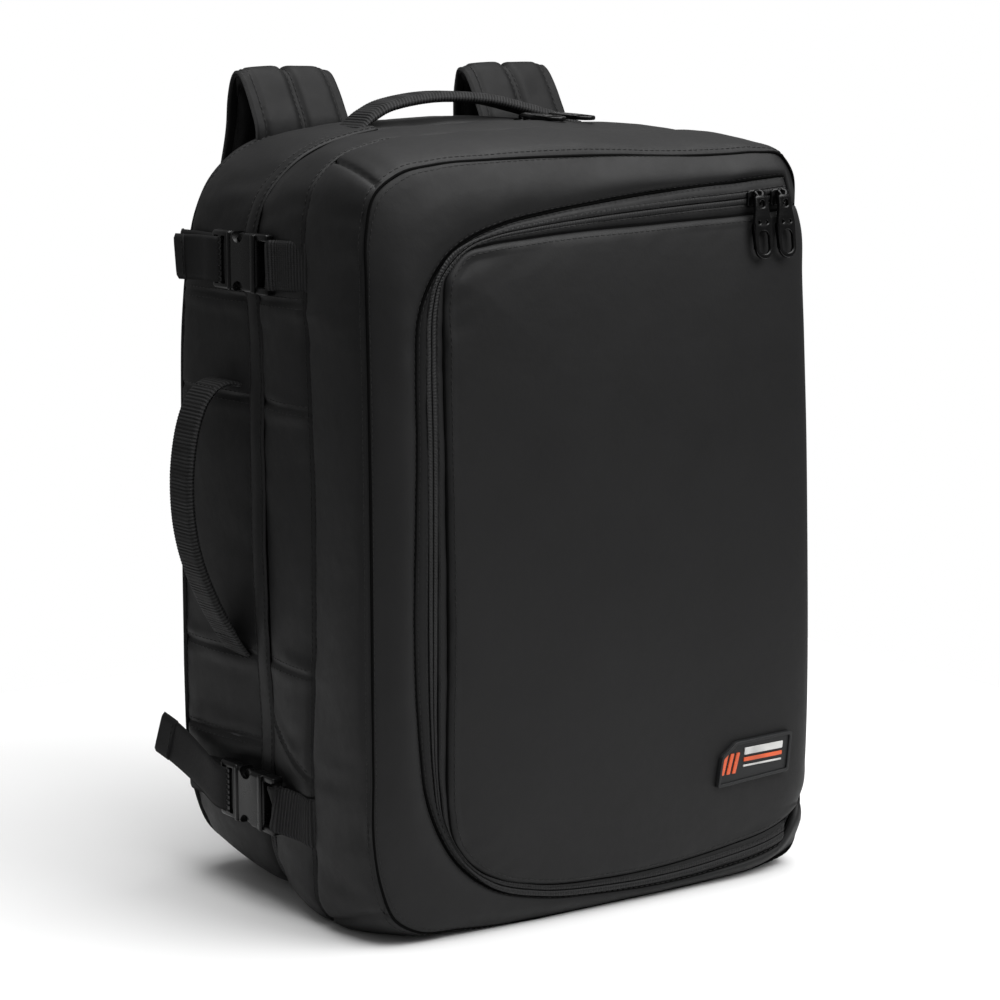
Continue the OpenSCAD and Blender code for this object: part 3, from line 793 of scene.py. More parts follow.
    def across(self, pts, dz, side=-1):
        """Points and normals across the band on one side along (y, z) points, dz above them."""
        ys = np.linspace(max(pts[0][0], min(self.y0, self.y1) + 1.2), min(pts[-1][0], max(self.y0, self.y1) - 1.2), 60)
        zz = np.interp(ys, [p[0] for p in pts], [p[1] for p in pts]) + dz
        P, N = [], []
        ylist = self.P[0, :, 1]
        for y, z in zip(ys, zz):
            j = int(np.argmin(np.abs(ylist - y)))
            col = self.P[:, j]
            ok = np.where((np.abs(col[:, 0]) > 118) & (np.sign(col[:, 0]) == side))[0]
            i = ok[np.argmin(np.abs(col[ok, 2] - z))]
            i2 = i + 1 if (col[(i + 1) % len(col), 2] - z) * (col[i, 2] - z) < 0 else i - 1
            i2 %= len(col)
            t = (z - col[i, 2]) / (col[i2, 2] - col[i, 2]) if abs(col[i2, 2] - col[i, 2]) > 1e-6 else 0
            t = min(max(t, 0), 1)
            q = col[i] * (1 - t) + col[i2] * t
            P.append((q[0], y, q[2])); N.append(self.N[i, j])
        return np.array(P), np.array(N)


SEAM_UP = [(-42, 333.6), (12, 332.6), (89, 331.2)]
SEAM_H1 = [(-42, 277.5), (12, 277.8), (90, 279)]
SEAM_H2 = [(-41, 137.2), (12, 137.3), (93, 136.8)]
SEAM_L1 = [(15, 89.3), (97, 88.8)]
SEAM_L2 = [(-42, 80.5), (-24, 88.7), (-3.5, 101), (15, 114)]
mid_seams = [dict(pts=p, side=s) for p in (SEAM_UP, SEAM_H1, SEAM_H2, SEAM_L2) for s in (-1, 1)]
rear_seams = [dict(pts=p, side=s) for p in (SEAM_UP, SEAM_H1, SEAM_H2, SEAM_L1) for s in (-1, 1)]



def ring_index(c):
    """The ring sample at a control position such as 14.5."""
    return float(STARTS[int(c)] + (c - int(c)) * COUNTS[int(c)])


MITRES = [(ring_index(a0), ring_index(a1)) for a0, a1 in ((14.3, 14.75), (4.4, 4.2), (23.6, 23.1), (33.4, 33.8))]
band1 = Skin(-96, -42, 4.2, 34, seed=1, corner=0.9, mitres=MITRES)
band2 = Skin(-42, 8.6, 2.6, 34, seams=mid_seams, seed=2, corner=0.7)
band3 = Skin(15.4, 90, 3.2, 40, seams=rear_seams, seed=3, corner=0.7)
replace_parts(band1.mesh("front_gusset_cloth", "front_half"), "front_gusset")
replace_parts(band2.mesh("middle_gusset_cloth", "front_half"), "middle_gusset")
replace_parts(band3.mesh("rear_gusset_cloth", "rear_half"), "rear_gusset")



def seam_shadow_cord(name, line, r, body, closed=False, mat=None):
    """A thin dark cord down in a seam: painted shadow in the seam's groove, darker and less shiny than the cloth."""
    line = np.asarray(line, float)
    t = unit(np.roll(line, -1, 0) - np.roll(line, 1, 0)) if closed else unit(np.gradient(line, axis=0))
    h = np.where(np.abs(t[:, 1:2]) > 0.9, np.array([[1.0, 0, 0]]), np.array([[0, 1.0, 0]]))
    w = unit(np.cross(t, h)); u = np.cross(t, w)
    K_ = 6
    V_ = np.stack([line + (w * math.cos(2 * math.pi * k_ / K_) + u * math.sin(2 * math.pi * k_ / K_)) * r for k_ in range(K_)], 1)
    V_[..., 2] = np.maximum(V_[..., 2], 0.3)
    n_ = len(line)
    F_ = grid_faces(n_, K_, closed, True)
    if not closed:
        F_ += [tuple(range(K_))[::-1], tuple((n_ - 1) * K_ + k_ for k_ in range(K_))]
    o = finish_mesh(name, V_.reshape(-1, 3), F_, mat or SEAM_SHADOW, None)
    outward(o)
    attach(o, body)
    return o


def ring3(y, off):
    r = ring_at(y)
    n = out2(r)
    return np.stack([r[:, 0] + n[:, 0] * off, np.full(len(r), float(y)), r[:, 1] + n[:, 1] * off], 1)


# dark cords that paint the shadow down in the seams round the bag
seam_shadow_cord("seam_front_shadow", ring3(-96.2, -1.5), 0.85, "front_half", closed=True)
seam_shadow_cord("seam_middle_shadow", ring3(-42.0, -1.7), 0.8, "front_half", closed=True)
runs = []
for mm in (2.6, -2.6):
    runs.append(band1.row(mm))
for s in mid_seams:
    runs += [band2.across(s["pts"], 2.6, s["side"]), band2.across(s["pts"], -2.6, s["side"])]
runs.append(band2.row(2.6))
stitches("front_half_stitching", runs, THREAD, "front_half")
runs = [band3.row(-3.0)]
for s in rear_seams:
    runs += [band3.across(s["pts"], 2.6, s["side"]), band3.across(s["pts"], -2.6, s["side"])]
stitches("rear_half_stitching", runs, THREAD, "rear_half")


# ------------------------------------------------------------------ front: frame, pocket zip, flap
def cloth_strip(name, rows, mat, body, thick=1.0, closed=False, back=None, face=None):
    """A closed shell from a grid rows[j] of equal-length point lists; the shell's back lies thick behind it."""
    P = np.stack([np.asarray(r, float) for r in rows], 1)
    n, m = P.shape[:2]
    N = grid_normals(P, wrap=closed)
    ref = P - np.array([0.0, 0.0, 208.0]) if face is None else np.broadcast_to(np.asarray(face, float), P.shape)
    ref = ref * (1, 0, 1) if face is None else ref
    if (N * ref).sum() < 0:
        N = -N
    Q = P - N * thick
    V = np.concatenate([P.reshape(-1, 3), Q.reshape(-1, 3)])
    b = n * m
    F = grid_faces(n, m, closed, False) + grid_faces(n, m, closed, False, base=b, flip=True)
    k = len(F)
    for i in range(n if closed else n - 1):
        i2 = (i + 1) % n
        F.append((i * m, i2 * m, b + i2 * m, b + i * m))
        F.append((i2 * m + m - 1, i * m + m - 1, b + i * m + m - 1, b + i2 * m + m - 1))
    if not closed:
        for j in range(m - 1):
            F.append((j + 1, j, b + j, b + j + 1))
            F.append(((n - 1) * m + j, (n - 1) * m + j + 1, b + (n - 1) * m + j + 1, b + (n - 1) * m + j))
    s = np.concatenate([[0], np.cumsum(np.linalg.norm(np.diff(P[:, m // 2], axis=0), axis=1))])
    w = np.concatenate([[0], np.cumsum(np.linalg.norm(np.diff(P[n // 2], axis=0), axis=1))])
    g = np.stack([np.broadcast_to(w[None, :], (n, m)), np.broadcast_to(s[:, None], (n, m))], -1).reshape(-1, 2)
    half = k // 2
    o = finish_mesh(name, V, F, [mat, back or mat], None, mat_index=[0] * half + [1] * half + [0] * (len(F) - k), uv=np.concatenate([g, g]))
    outward(o)
    if body:
        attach(o, body)
    return o, P, N


EDGE_B = {34: (139, 15), 35: (118, 9), 36: (82, 4.5), 37: (42, 3), 0: (0, 5), 1: (-46, 11), 2: (-78, 22), 3: (-98, 38.5), 4: (-110, 58), 5: (-117, 78), 6: (-120, 100), 7: (-122, 125), 8: (-123.3, 165), 9: (-122.2, 215), 10: (-121.2, 265), 11: (-121.6, 300), 12: (-119.5, 327), 13: (-113, 342), 14: (-102, 355), 15: (-89, 363), 16: (-68, 370), 17: (-43.5, 374.4), 18: (-15, 378), 19: (18.9, 381.8), 20: (52, 384.3), 21: (85, 386.3), 22: (106, 387.8), 23: (121, 388.2), 24: (131.5, 386)}
EDGE_P = {34: (143, 33), 35: (116, 22.5), 36: (82, 17.2), 37: (42, 13.7), 0: (0, 13.6), 1: (-47, 18), 2: (-72, 25), 3: (-86, 33), 4: (-95, 42), 5: (-101, 52), 6: (-103.8, 68), 7: (-104.5, 100), 8: (-103.6, 150), 9: (-104, 205), 10: (-105, 260), 11: (-106, 310), 12: (-106, 333), 13: (-105, 344), 14: (-99.5, 351.5), 15: (-92, 357.5), 16: (-80, 360), 17: (-55, 362.3), 18: (-20, 364.6), 19: (15.9, 365.7), 20: (52, 367), 21: (85, 368), 22: (104, 369), 23: (120, 370.3), 24: (133.5, 372)}
ORDER = [34, 35, 36, 37] + list(range(0, 25))
CNT = [COUNTS[i] for i in ORDER[:-1]]
CNT = [max(c, 8) for c in CNT]
cA = smooth_loop([KEYS[0][i] for i in ORDER], CNT, closed=False)
cB = smooth_loop([np.array(EDGE_B[i]) + (0, ZS) for i in ORDER], CNT, closed=False)
cP = smooth_loop([np.array(EDGE_P[i]) + (0, ZS) for i in ORDER], CNT, closed=False)
nF = len(cA)


RIGHT_Z = np.array([p[1] for p in RING_A[33:21:-1]]) + ZS  # heights of the right side, rising
RIGHT_X = np.array([p[0] for p in RING_A[33:21:-1]])
RIGHT_Z2 = np.concatenate([[RING_A[35][1] + ZS, RING_A[34][1] + ZS], RIGHT_Z])
RIGHT_X2 = np.concatenate([[RING_A[35][0], RING_A[34][0]], RIGHT_X])


def fall(x, z):
    """How far the front's outer layers drop back to meet the seam on the right."""
    return 9.5 * np.exp(-np.maximum(np.interp(z, RIGHT_Z2, RIGHT_X2) - x, 0) / 7.5)


def lift3(c, y):
    return np.stack([c[:, 0], np.broadcast_to(np.asarray(y, float), len(c)), c[:, 1]], 1)


# puffed cloth frame from the front seam in to the pocket seam; past the zip's two ends it runs on to the flap
K0 = int(np.argmin(np.abs(cB[:nF // 4, 0] - 125.5)))
K1 = nF - int(np.argmin(np.abs(cB[::-1][:nF // 4, 0] - 120.5)))
ii_ = np.arange(nF)
wEnd = (1 - sstep(K0 - 5, K0 + 1, ii_)) + sstep(K1 - 1, K1 + 5, ii_)
cBf = cB * (1 - wEnd)[:, None] + (cP + (cP - cB) * 0.12) * wEnd[:, None]
rows = []
mF = 22
a = np.linspace(0, 1, mF)
vv = 0.45 * a + 0.55 * (1 - np.cos(np.pi * a)) / 2
wAB = np.linalg.norm(cA - cBf, axis=1)
for v in vv:
    c = cA * (1 - v) + cBf * v
    e = np.exp(-v * wAB / 1.5) * 2.6
    puff = 4.0 * np.sin(np.pi * min(v * 1.02, 1)) ** 0.7 * np.clip(wAB / 20, 0.15, 1) * (1 - 0.75 * sstep(K1 - 14, K1 + 4, ii_))
    yy = -96 - 8 * sstep(0, 1, v) - puff + e + 2.0 * np.exp(-(1 - v) * wAB / 1.5)
    p = lift3(c, yy)
    p[:, 1] += v * fall(c[:, 0], c[:, 1])
    mid = min(v, 1 - v) * 6
    p[:, 1] += min(mid, 1) * (0.45 * W_BIG(p + 5) + 0.28 * W_MID(p * 1.2 + 5) + 0.2 * W_FOLD(p * 1.1 + 7) * math.exp(-(1 - v) * 2))
    p[:, 2] = np.maximum(p[:, 2], 0.3)
    rows.append(p)
frame_o, Pf, Nf = cloth_strip("front_panel_frame", rows, FAB, "front_half", 1.2, back=LINING_O, face=(0, -1, 0))
# the frame's right side is a narrow strip under the flap's sewn edge
ORD_R = list(range(24, 35))
cnt_r = [max(COUNTS[i], 6) for i in ORD_R[:-1]]
rA = smooth_loop([KEYS[0][i] for i in ORD_R], cnt_r, closed=False)
rB = smooth_loop([KEYS[0][i] - (9, 0) for i in ORD_R], cnt_r, closed=False)
edge_o, _, _ = cloth_strip("front_panel_side", [lift3(rA * (1 - v) + rB * v, -95.2 - 2.6 * v) for v in (0, 0.5, 1)], FAB, "front_half", 1.2, back=LINING_O, face=(0, -1, 0))
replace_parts(frame_o, "front_panel")

# pocket zip: outer cloth band, tape, coils
yB = -103.2


def between(f):
    return cB * (1 - f) + cP * f


def band_rows(f0, f1, k, y0, y1, puff=0.4, noise=0.25):
    out = []
    for t in np.linspace(0, 1, k):
        f = f0 + (f1 - f0) * t
        c = between(f)
        yy = y0 + (y1 - y0) * t - puff * math.sin(math.pi * t)
        p = lift3(c, yy)
        p[:, 1] += fall(c[:, 0], c[:, 1])
        p[:, 1] += noise * (0.7 * W_MID(p + 3) + 0.6 * W_FOLD(p * 1.3)) * (1 if 0 < t < 1 else 0.3)
        p[:, 2] = np.maximum(p[:, 2], 0.4)
        out.append(p)
    return out


o1, _, _ = cloth_strip("pocket_zip_band", [r[K0:K1] for r in band_rows(-0.02, 0.34, 9, yB + 1.2, -105.6, 0.9)], FAB, "front_half", 0.8, face=(0, -1, 0))
o2, _, _ = cloth_strip("pocket_zip_tape", [r[K0:K1] for r in band_rows(0.32, 0.50, 4, -104.9, -104.9, 0.0, 0.0)], TAPE, "front_half", 0.5, face=(0, -1, 0))
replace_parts(o2, "pocket_zip_shell")
o3, _, _ = cloth_strip("flap_zip_tape", [r[K0:K1] for r in band_rows(0.515, 0.70, 4, -104.9, -104.9, 0.0, 0.0)], TAPE, "flap", 0.5, face=(0, -1, 0))
o4, _, _ = cloth_strip("flap_zip_band", [r[K0:K1] for r in band_rows(0.68, 1.04, 9, -105.6, -104.4, 0.9)], FAB, "flap", 0.8, face=(0, -1, 0))
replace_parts(o3, "pocket_zip_flap")


def coil(name, line, nrm, side, body, r=1.15, pitch=1.25, width=2.6, mat=None, flat=0.55):
    """One side of a zip's coil: a rope of close ribs along a line. side is the unit vector, in the tape's plane, towards the tape."""
    L = resample(line, step=pitch / 4)
    s0 = np.concatenate([[0], np.cumsum(np.linalg.norm(np.diff(line, axis=0), axis=1))])
    s1 = np.concatenate([[0], np.cumsum(np.linalg.norm(np.diff(L, axis=0), axis=1))])
    s1 = s1 / s1[-1] * s0[-1]
    ip = lambda a: np.stack([np.interp(s1, s0, a[:, k]) for k in range(3)], 1)
    nn, sd = unit(ip(nrm)), unit(ip(side))
    rib = 0.5 + 0.5 * np.cos(2 * np.pi * s1 / pitch)
    K = 8
    V = []
    for k in range(K):
        a = 2 * np.pi * k / K
        V.append(L + sd * (math.cos(a) * width / 2) + nn * ((math.sin(a) * r * flat) * (0.35 + 0.65 * rib))[:, None])
    V = np.stack(V, 1)
    n = len(L)
    F = grid_faces(n, K, False, True) + [tuple(range(K))[::-1], tuple((n - 1) * K + k for k in range(K))]
    uv = np.stack([np.broadcast_to(np.arange(K)[None, :] * 0.7, (n, K)), np.broadcast_to(s1[:, None], (n, K))], -1)
    o = finish_mesh(name, V.reshape(-1, 3), F, mat or COIL, None, uv=uv.reshape(-1, 2))
    outward(o)
    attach(o, body)
    return o


zp = between(0.508)
zn = np.tile([0, -1.0, 0], (nF, 1))
inwards = cP - cB
inwards = inwards / np.linalg.norm(inwards, axis=1)[:, None]
sd3 = np.stack([inwards[:, 0], 0 * inwards[:, 0], inwards[:, 1]], 1)
zl = lift3(zp, -105.7)
zl[:, 1] += fall(zp[:, 0], zp[:, 1])
coil("pocket_coil_shell", (zl - sd3 * 1.75)[K0:K1], zn[K0:K1], sd3[K0:K1], "front_half", width=3.1, pitch=1.7, r=1.2)
coil("pocket_coil_flap", (zl + sd3 * 1.75)[K0:K1], zn[K0:K1], sd3[K0:K1], "flap", width=3.1, pitch=1.7, r=1.2)

# flap: a four-sided patch of cloth whose right side is sewn into the front seam
startsF = np.concatenate([[0], np.cumsum(CNT)])
iBL = int(startsF[ORDER.index(4)] + CNT[ORDER.index(4)] // 2)
iTL = int(startsF[ORDER.index(14)] + CNT[ORDER.index(14)] // 2)
right_ctrl = np.array([(143, 33), (147.2, 42), (147.9, 58), (147.2, 100), (146.2, 148), (145.0, 190), (143.3, 240), (140.4, 300), (138.3, 335), (135.9, 358), (133.5, 372)], float) + (-0.5, ZS)
right_ctrl = [np.array(c_, float) - (3.6 * float(np.clip(min(c_[1] - 30, 360 - c_[1]) / 25, 0, 1)), 0) for c_ in right_ctrl]
side_R = smooth_loop(right_ctrl, [12] * (len(right_ctrl) - 1), closed=False)
side_B = cP[:iBL + 1][::-1]
side_L = cP[iBL:iTL + 1]
side_T = cP[iTL:]
side_R[0], side_R[-1] = side_B[-1], side_T[-1]
NS, NT = ((170, 220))


def dense(n, k=0.35):
    a = np.linspace(0, 1, n)
    return (1 - k) * a + k * (1 - np.cos(np.pi * a)) / 2


def at_len(p, u):
    s = np.concatenate([[0], np.cumsum(np.linalg.norm(np.diff(p, axis=0), axis=1))])
    return np.stack([np.interp(u * s[-1], s, p[:, k]) for k in range(p.shape[1])], 1)


us, ut = dense(NS, 0.5), dense(NT, 0.5)
cb, ct = at_len(side_B, us), at_len(side_T, us)
cl, cr = at_len(side_L, ut), at_len(side_R, ut)
S, T = us[:, None, None], ut[None, :, None]
G2 = (1 - T) * cb[:, None] + T * ct[:, None] + (1 - S) * cl[None] + S * cr[None] - ((1 - S) * (1 - T) * cb[0] + S * (1 - T) * cb[-1] + (1 - S) * T * ct[0] + S * T * ct[-1])
rim = np.vstack([side_B[::-1], side_L, side_T])
q = resample(rim, step=2.0)
flat2 = G2.reshape(-1, 2)
D = np.full(len(flat2), 1e9)
for k in range(0, len(q) - 1):
    a_, b_ = q[k], q[k + 1]
    ab = b_ - a_
    t_ = np.clip(((flat2 - a_) @ ab) / (ab @ ab), 0, 1)
    D = np.minimum(D, np.linalg.norm(flat2 - (a_ + t_[:, None] * ab), axis=1))
D = D.reshape(NS, NT)
xr = np.interp(G2[..., 1], side_R[:, 1], side_R[:, 0])
DR = np.maximum(xr - G2[..., 0], 0)


def flap_y(D, DR, p):
    """Height of the flap's outer face: a rolled edge, a soft crown, and a fall to the seam on the right."""
    y = -(105.7 + 2.5 * (1 - np.exp(-D / 1.25)) + 5.6 * (1 - np.exp(-D / 24.0)))
    y = y + 9.8 * np.exp(-DR / 7.5)
    return y


P0 = np.stack([G2[..., 0], np.zeros((NS, NT)), G2[..., 1]], -1)
Y = flap_y(D, DR, P0)
inner = np.clip(D / 6, 0, 1) * np.clip(DR / 8, 0, 1)
Y += inner * (0.55 * W_BIG(P0 * 0.8 + 17) + 0.12 * W_MID(P0 + 17))
corner_tl = np.exp(-np.hypot(P0[..., 0] + 100, P0[..., 2] - 352) ** 2 / 30 ** 2) + np.exp(-np.hypot(P0[..., 0] + 97, P0[..., 2] - 45) ** 2 / 30 ** 2)
Y += np.exp(-D / 9) * np.clip(D / 2, 0, 1) * (0.18 + 0.5 * corner_tl) * W_FOLD(P0 * 1.5 + 23)
Yf = Y
front = np.stack([P0[..., 0], Y, P0[..., 2]], -1)
back_y = -103.6 + 4.5 * np.exp(-DR / 12.0)
back = np.stack([P0[..., 0], back_y, P0[..., 2]], -1)
ctr = np.array([20.0, 200.0])
shr = np.clip(1.6 - D * 0.4, 0, 1.6)
toward = ctr - G2
toward /= np.linalg.norm(toward, axis=-1)[..., None]
back[..., 0] += toward[..., 0] * shr
back[..., 2] += toward[..., 1] * shr
b = NS * NT
F = grid_faces(NS, NT) + grid_faces(NS, NT, base=b, flip=True)
k = len(F) // 2
per = [(i, 0) for i in range(NS)] + [(NS - 1, j) for j in range(1, NT)] + [(i, NT - 1) for i in range(NS - 2, -1, -1)] + [(0, j) for j in range(NT - 2, 0, -1)]
for m_ in range(len(per)):
    (i, j), (i2, j2) = per[m_], per[(m_ + 1) % len(per)]
    F.append((i * NT + j, b + i * NT + j, b + i2 * NT + j2, i2 * NT + j2))
uv = np.concatenate([G2.reshape(-1, 2)] * 2)
flap = finish_mesh("pocket_flap_cloth", np.concatenate([front.reshape(-1, 3), back.reshape(-1, 3)]), F, [FAB, LINING], None, mat_index=[0] * k + [1] * k + [0] * (len(F) - 2 * k), uv=uv)
outward(flap)
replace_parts(flap, "pocket_flap", "flap_hinge_strip")
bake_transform(flap)


def flap_at(x, z):
    """The flap's outer face under (x, z)."""
    pts = front.reshape(-1, 3)
    d2 = (pts[:, 0] - x) ** 2 + (pts[:, 2] - z) ** 2
    i = np.argpartition(d2, 6)[:6]
    w = 1 / (d2[i] + 0.05)
    return float((pts[i, 1] * w).sum() / w.sum())


# dark cords that paint the shadow in the pocket's seam and the flap's seam
seam_shadow_cord("seam_pocket_shadow", lift3(cBf, -102.9 + fall(cBf[:, 0], cBf[:, 1]))[2:-2], 0.9, "front_half")
pE = lift3(cP, -105.3 + fall(cP[:, 0], cP[:, 1]))
seam_shadow_cord("seam_flap_shadow", pE[K0:K1], 0.8, "flap")
# rows of stitching by the flap's edge and along both edges of the zip
edge_run = []
rr = cP[6:nF - 6]
tv = np.gradient(rr, axis=0)
tv /= np.linalg.norm(tv, axis=1)[:, None]
nin = np.stack([tv[:, 1], -tv[:, 0]], 1)
cen = ctr - rr
nin *= np.sign((nin * cen).sum(1))[:, None]
rr2 = rr + nin * 2.8
rr2 = resample(rr2, step=3)
edge_run.append((np.array([(p[0], flap_at(p[0], p[1]) - 0.05, p[1]) for p in rr2]), np.tile([0, -1.0, 0], (len(rr2), 1))))
stitches("flap_edge_stitching", edge_run, THREAD, "flap")
zr = []
for f_, y_ in ((0.29, -106.3), (0.06, -104.6)):
    c_ = between(f_)[K0:K1]
    zr.append((lift3(c_, y_ + fall(c_[:, 0], c_[:, 1])), np.tile([0, -1.0, 0], (len(c_), 1))))
stitches("pocket_zip_stitching", zr, THREAD, "front_half", r=0.2, lift=0.25)
c_ = between(0.73)[K0:K1]
stitches("flap_zip_stitching", [(lift3(c_, -106.3 + fall(c_[:, 0], c_[:, 1])), np.tile([0, -1.0, 0], (len(c_), 1)))], THREAD, "flap", r=0.2, lift=0.2)
jr = np.arange(4, mF)
row_B = Pf[:, -3]
stitches("front_frame_stitching", [(row_B[6:-6], -np.abs(Nf[6:-6, -3]) * [0, 1, 0]), (Pf[6:-6, 3], -np.abs(Nf[6:-6, 3]) * [0, 1, 0])], THREAD, "front_half", r=0.2)

# pocket inside: side wall and back, with two slip pockets
wall, _, _ = cloth_strip("pocket_wall", [lift3(cBf, -100.4 + 0.6 * fall(cBf[:, 0], cBf[:, 1])), lift3(cBf, -97), lift3(cBf, -93.0)], LINING, "front_half", 0.8)
xs, zs_ = np.linspace(-131, 136, 60), np.linspace(16, 396, 80)
X_, Z_ = np.meshgrid(xs, zs_, indexing="ij")
edge_d = np.minimum(np.minimum(X_ + 131, 136 - X_), np.minimum(Z_ - 16, 396 - Z_))
cornerm = np.clip((np.hypot(np.maximum(np.abs(X_ - 2.5) - 95, 0), np.maximum(np.abs(Z_ - 206) - 152, 0)) - 36) / 4, 0, 1)
Yb = -92.0 + 0.4 * Waves(31, 60)(np.stack([X_, 0 * X_, Z_], -1)) * np.clip(edge_d / 20, 0, 1)
rows = [np.stack([X_[:, j], Yb[:, j], Z_[:, j]], 1) for j in range(80)]
# the corners of the back are rounded off by pulling outside points in
for r_ in rows:
    cx = np.clip(r_[:, 0], -131 + 42, 136 - 30)
    cz = np.clip(r_[:, 2], 16 + 42, 396 - 30)
    dx, dz = r_[:, 0] - cx, r_[:, 2] - cz
    R = np.hypot(dx, dz)
    lim = np.where(r_[:, 0] < 0, 42, 30)
    f_ = np.where((R > lim) & (np.abs(dx) > 0) & (np.abs(dz) > 0), lim / np.maximum(R, 1e-6), 1)
    r_[:, 0] = cx + dx * f_
    r_[:, 2] = cz + dz * f_
pb, _, _ = cloth_strip("pocket_back_cloth", rows, LINING, "front_half", 0.9, face=(0, -1, 0))
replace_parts(pb, "pocket_back")
for nm, (x0, x1, z0, z1) in {"slip_pocket_left": (-110, -4, 60, 230), "slip_pocket_right": (4, 118, 60, 230)}.items():
    xs = np.linspace(x0, x1, 30); zz = np.linspace(z0, z1, 34)
    X_, Z_ = np.meshgrid(xs, zz, indexing="ij")
    u_ = (X_ - x0) / (x1 - x0); v_ = (Z_ - z0) / (z1 - z0)
    Yp = -92.9 - 2.6 * np.sin(np.pi * u_) ** 0.7 * np.sin(np.pi * np.clip(v_ * 0.62, 0, 1)) ** 0.8 + 0.25 * Waves(5, 30)(np.stack([X_, 0 * X_, Z_], -1))
    o_, _, _ = cloth_strip(nm, [np.stack([X_[:, j], Yp[:, j], Z_[:, j]], 1) for j in range(34)], LINING, "front_half", 0.8, face=(0, -1, 0))
    ribbon(nm + "_binding", [(x, Yp[i_, -1] - 0.2, z1) for i_, x in enumerate(xs)], (0, 0, 1), 8, 1.2, WEB_S, "front_half", nw=6, step=2)
    stitches(nm + "_stitching", [(np.array([(x, np.interp(x, xs, Yp[:, -1]) - 0.9, z1 - 2.6) for x in np.linspace(x0, x1, 40)]), np.tile([0, -1.0, 0], (40, 1)))], THREAD, "front_half")
print("front done")


# ------------------------------------------------------------------ boolean helper and mouldings
def cut(o, *cutters, op="DIFFERENCE"):
    for c in cutters:
        md = o.modifiers.new("cut", "BOOLEAN")
        md.operation = op
        md.object = c
        md.solver = "EXACT"
    bpy.context.view_layer.update()
    me = bpy.data.meshes.new_from_object(o.evaluated_get(bpy.context.evaluated_depsgraph_get()))
    old = o.data
    o.modifiers.clear()
    o.data = me
    name = old.name
    bpy.data.meshes.remove(old)
    me.name = name
    for c in cutters:
        d = c.data
        bpy.data.objects.remove(c)
        bpy.data.meshes.remove(d)
    bm = bmesh.new(); bm.from_mesh(o.data)
    bmesh.ops.remove_doubles(bm, verts=bm.verts, dist=1e-6)
    for f in bm.faces:
        f.smooth = True
    bm.to_mesh(o.data); bm.free()
    sharp(o, 38)
    return o


def tmp_rod(a, b, r, n=28):
    return rod("tmp_cutter", a, b, r, ACETAL, None, n=n, dome=0.05)


def tmp_box(lo, hi, bevel=0.6):
    return rbox("tmp_cutter", lo, hi, bevel, ACETAL, None, seg=2)


def set_objs(objs, body, slot):
    for o in objs:
        if body:
            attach(o, body)
    return objs


# ------------------------------------------------------------------ main zip round the bag, rain flap, base strip
zin = ring_at(12.0)
zn2 = out2(zin)
zN = np.stack([zn2[:, 0], 0 * zn2[:, 0], zn2[:, 1]], 1)
gap_from = int(STARTS[34] + COUNTS[34] // 2)  # the zip runs from one bottom corner up and over to the other
gap_to = int(STARTS[3] + COUNTS[3] // 2)
zip_idx = np.arange(gap_to, gap_from)


def zline(y, out):
    r = ring_at(y)
    n = out2(r)
    return np.stack([r[:, 0] + n[:, 0] * out, np.full(len(r), y), r[:, 1] + n[:, 1] * out], 1)


def ztape(name, y0, y1, body):
    rows_ = [zline(y, o_)[zip_idx] for y, o_ in ((y0, -2.2), ((y0 + y1) / 2, -1.7), (y1, -1.6))]
    o, _, _ = cloth_strip(name, rows_, TAPE, body, 0.6)
    return o


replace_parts(ztape("main_zip_tape_front", 7.4, 11.4, "front_half"), "main_zip_front")
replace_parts(ztape("main_zip_tape_rear", 16.6, 12.6, "rear_half"), "main_zip_rear")
yl = np.tile([0, -1.0, 0], (len(zip_idx), 1))
coil("main_coil_front", zline(10.6, -0.9)[zip_idx], zN[zip_idx], yl, "front_half", r=1.3, width=2.7, pitch=1.5)
coil("main_coil_rear", zline(13.4, -0.9)[zip_idx], zN[zip_idx], -yl, "rear_half", r=1.3, width=2.7, pitch=1.5)

# the flap that hides the zip down each side and over the top corners
def flap_strip(name, i_from, i_to):
    idx = np.arange(i_from, i_to)
    rows_ = []
    for t in np.linspace(0, 1, 9):
        y = 20.6 + (5.4 - 20.6) * t
        o_ = 0.6 + 1.9 * math.sin(math.pi * (0.06 + 0.8 * t)) - 1.2 * (1 - t) ** 4 - 0.5 * t ** 6
        p = zline(y, o_)[idx]
        w = 0.3 * W_FOLD2(p * 1.2) + 0.15 * W_FOLD(p)
        p = p + zN[idx] * (w * min(1, t * 2))[..., None]
        p[:, 1] += 0.35 * W_MID(p) * t
        p[:, 2] = np.maximum(p[:, 2], 0.5)
        rows_.append(p)
    o, P_, N_ = cloth_strip(name, rows_, FAB, "rear_half", 1.0)
    return o, P_, N_


i_l0, i_l1 = int(STARTS[5] + COUNTS[5]), int(STARTS[17] + COUNTS[17] * 0.12)
i_r0, i_r1 = int(STARTS[21] + COUNTS[21] * 0.3), int(STARTS[33] - COUNTS[32] * 0.4)
rf, Pl, Nl = flap_strip("rain_flap_left", i_l0, i_l1)
rf2, Pr, Nr = flap_strip("rain_flap_right", i_r0, i_r1)
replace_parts(rf, "rain_flap")
stitches("rain_flap_stitching", [(Pl[:, 1], zN[i_l0:i_l1]), (Pr[:, 1], zN[i_r0:i_r1]), (Pl[:, -2], zN[i_l0:i_l1]), (Pr[:, -2], zN[i_r0:i_r1])], THREAD, "rear_half", lift=0.5)
base = ribbon("base_strip_web", [(x, 12.1, 1.3 + 0.2 * math.sin(x / 17)) for x in np.linspace(-90, 90, 60)], (0, 1, 0), 10.4, 1.9, WEB_S, None, nw=8, step=2)
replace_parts(base, "base_strip")
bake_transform(base)

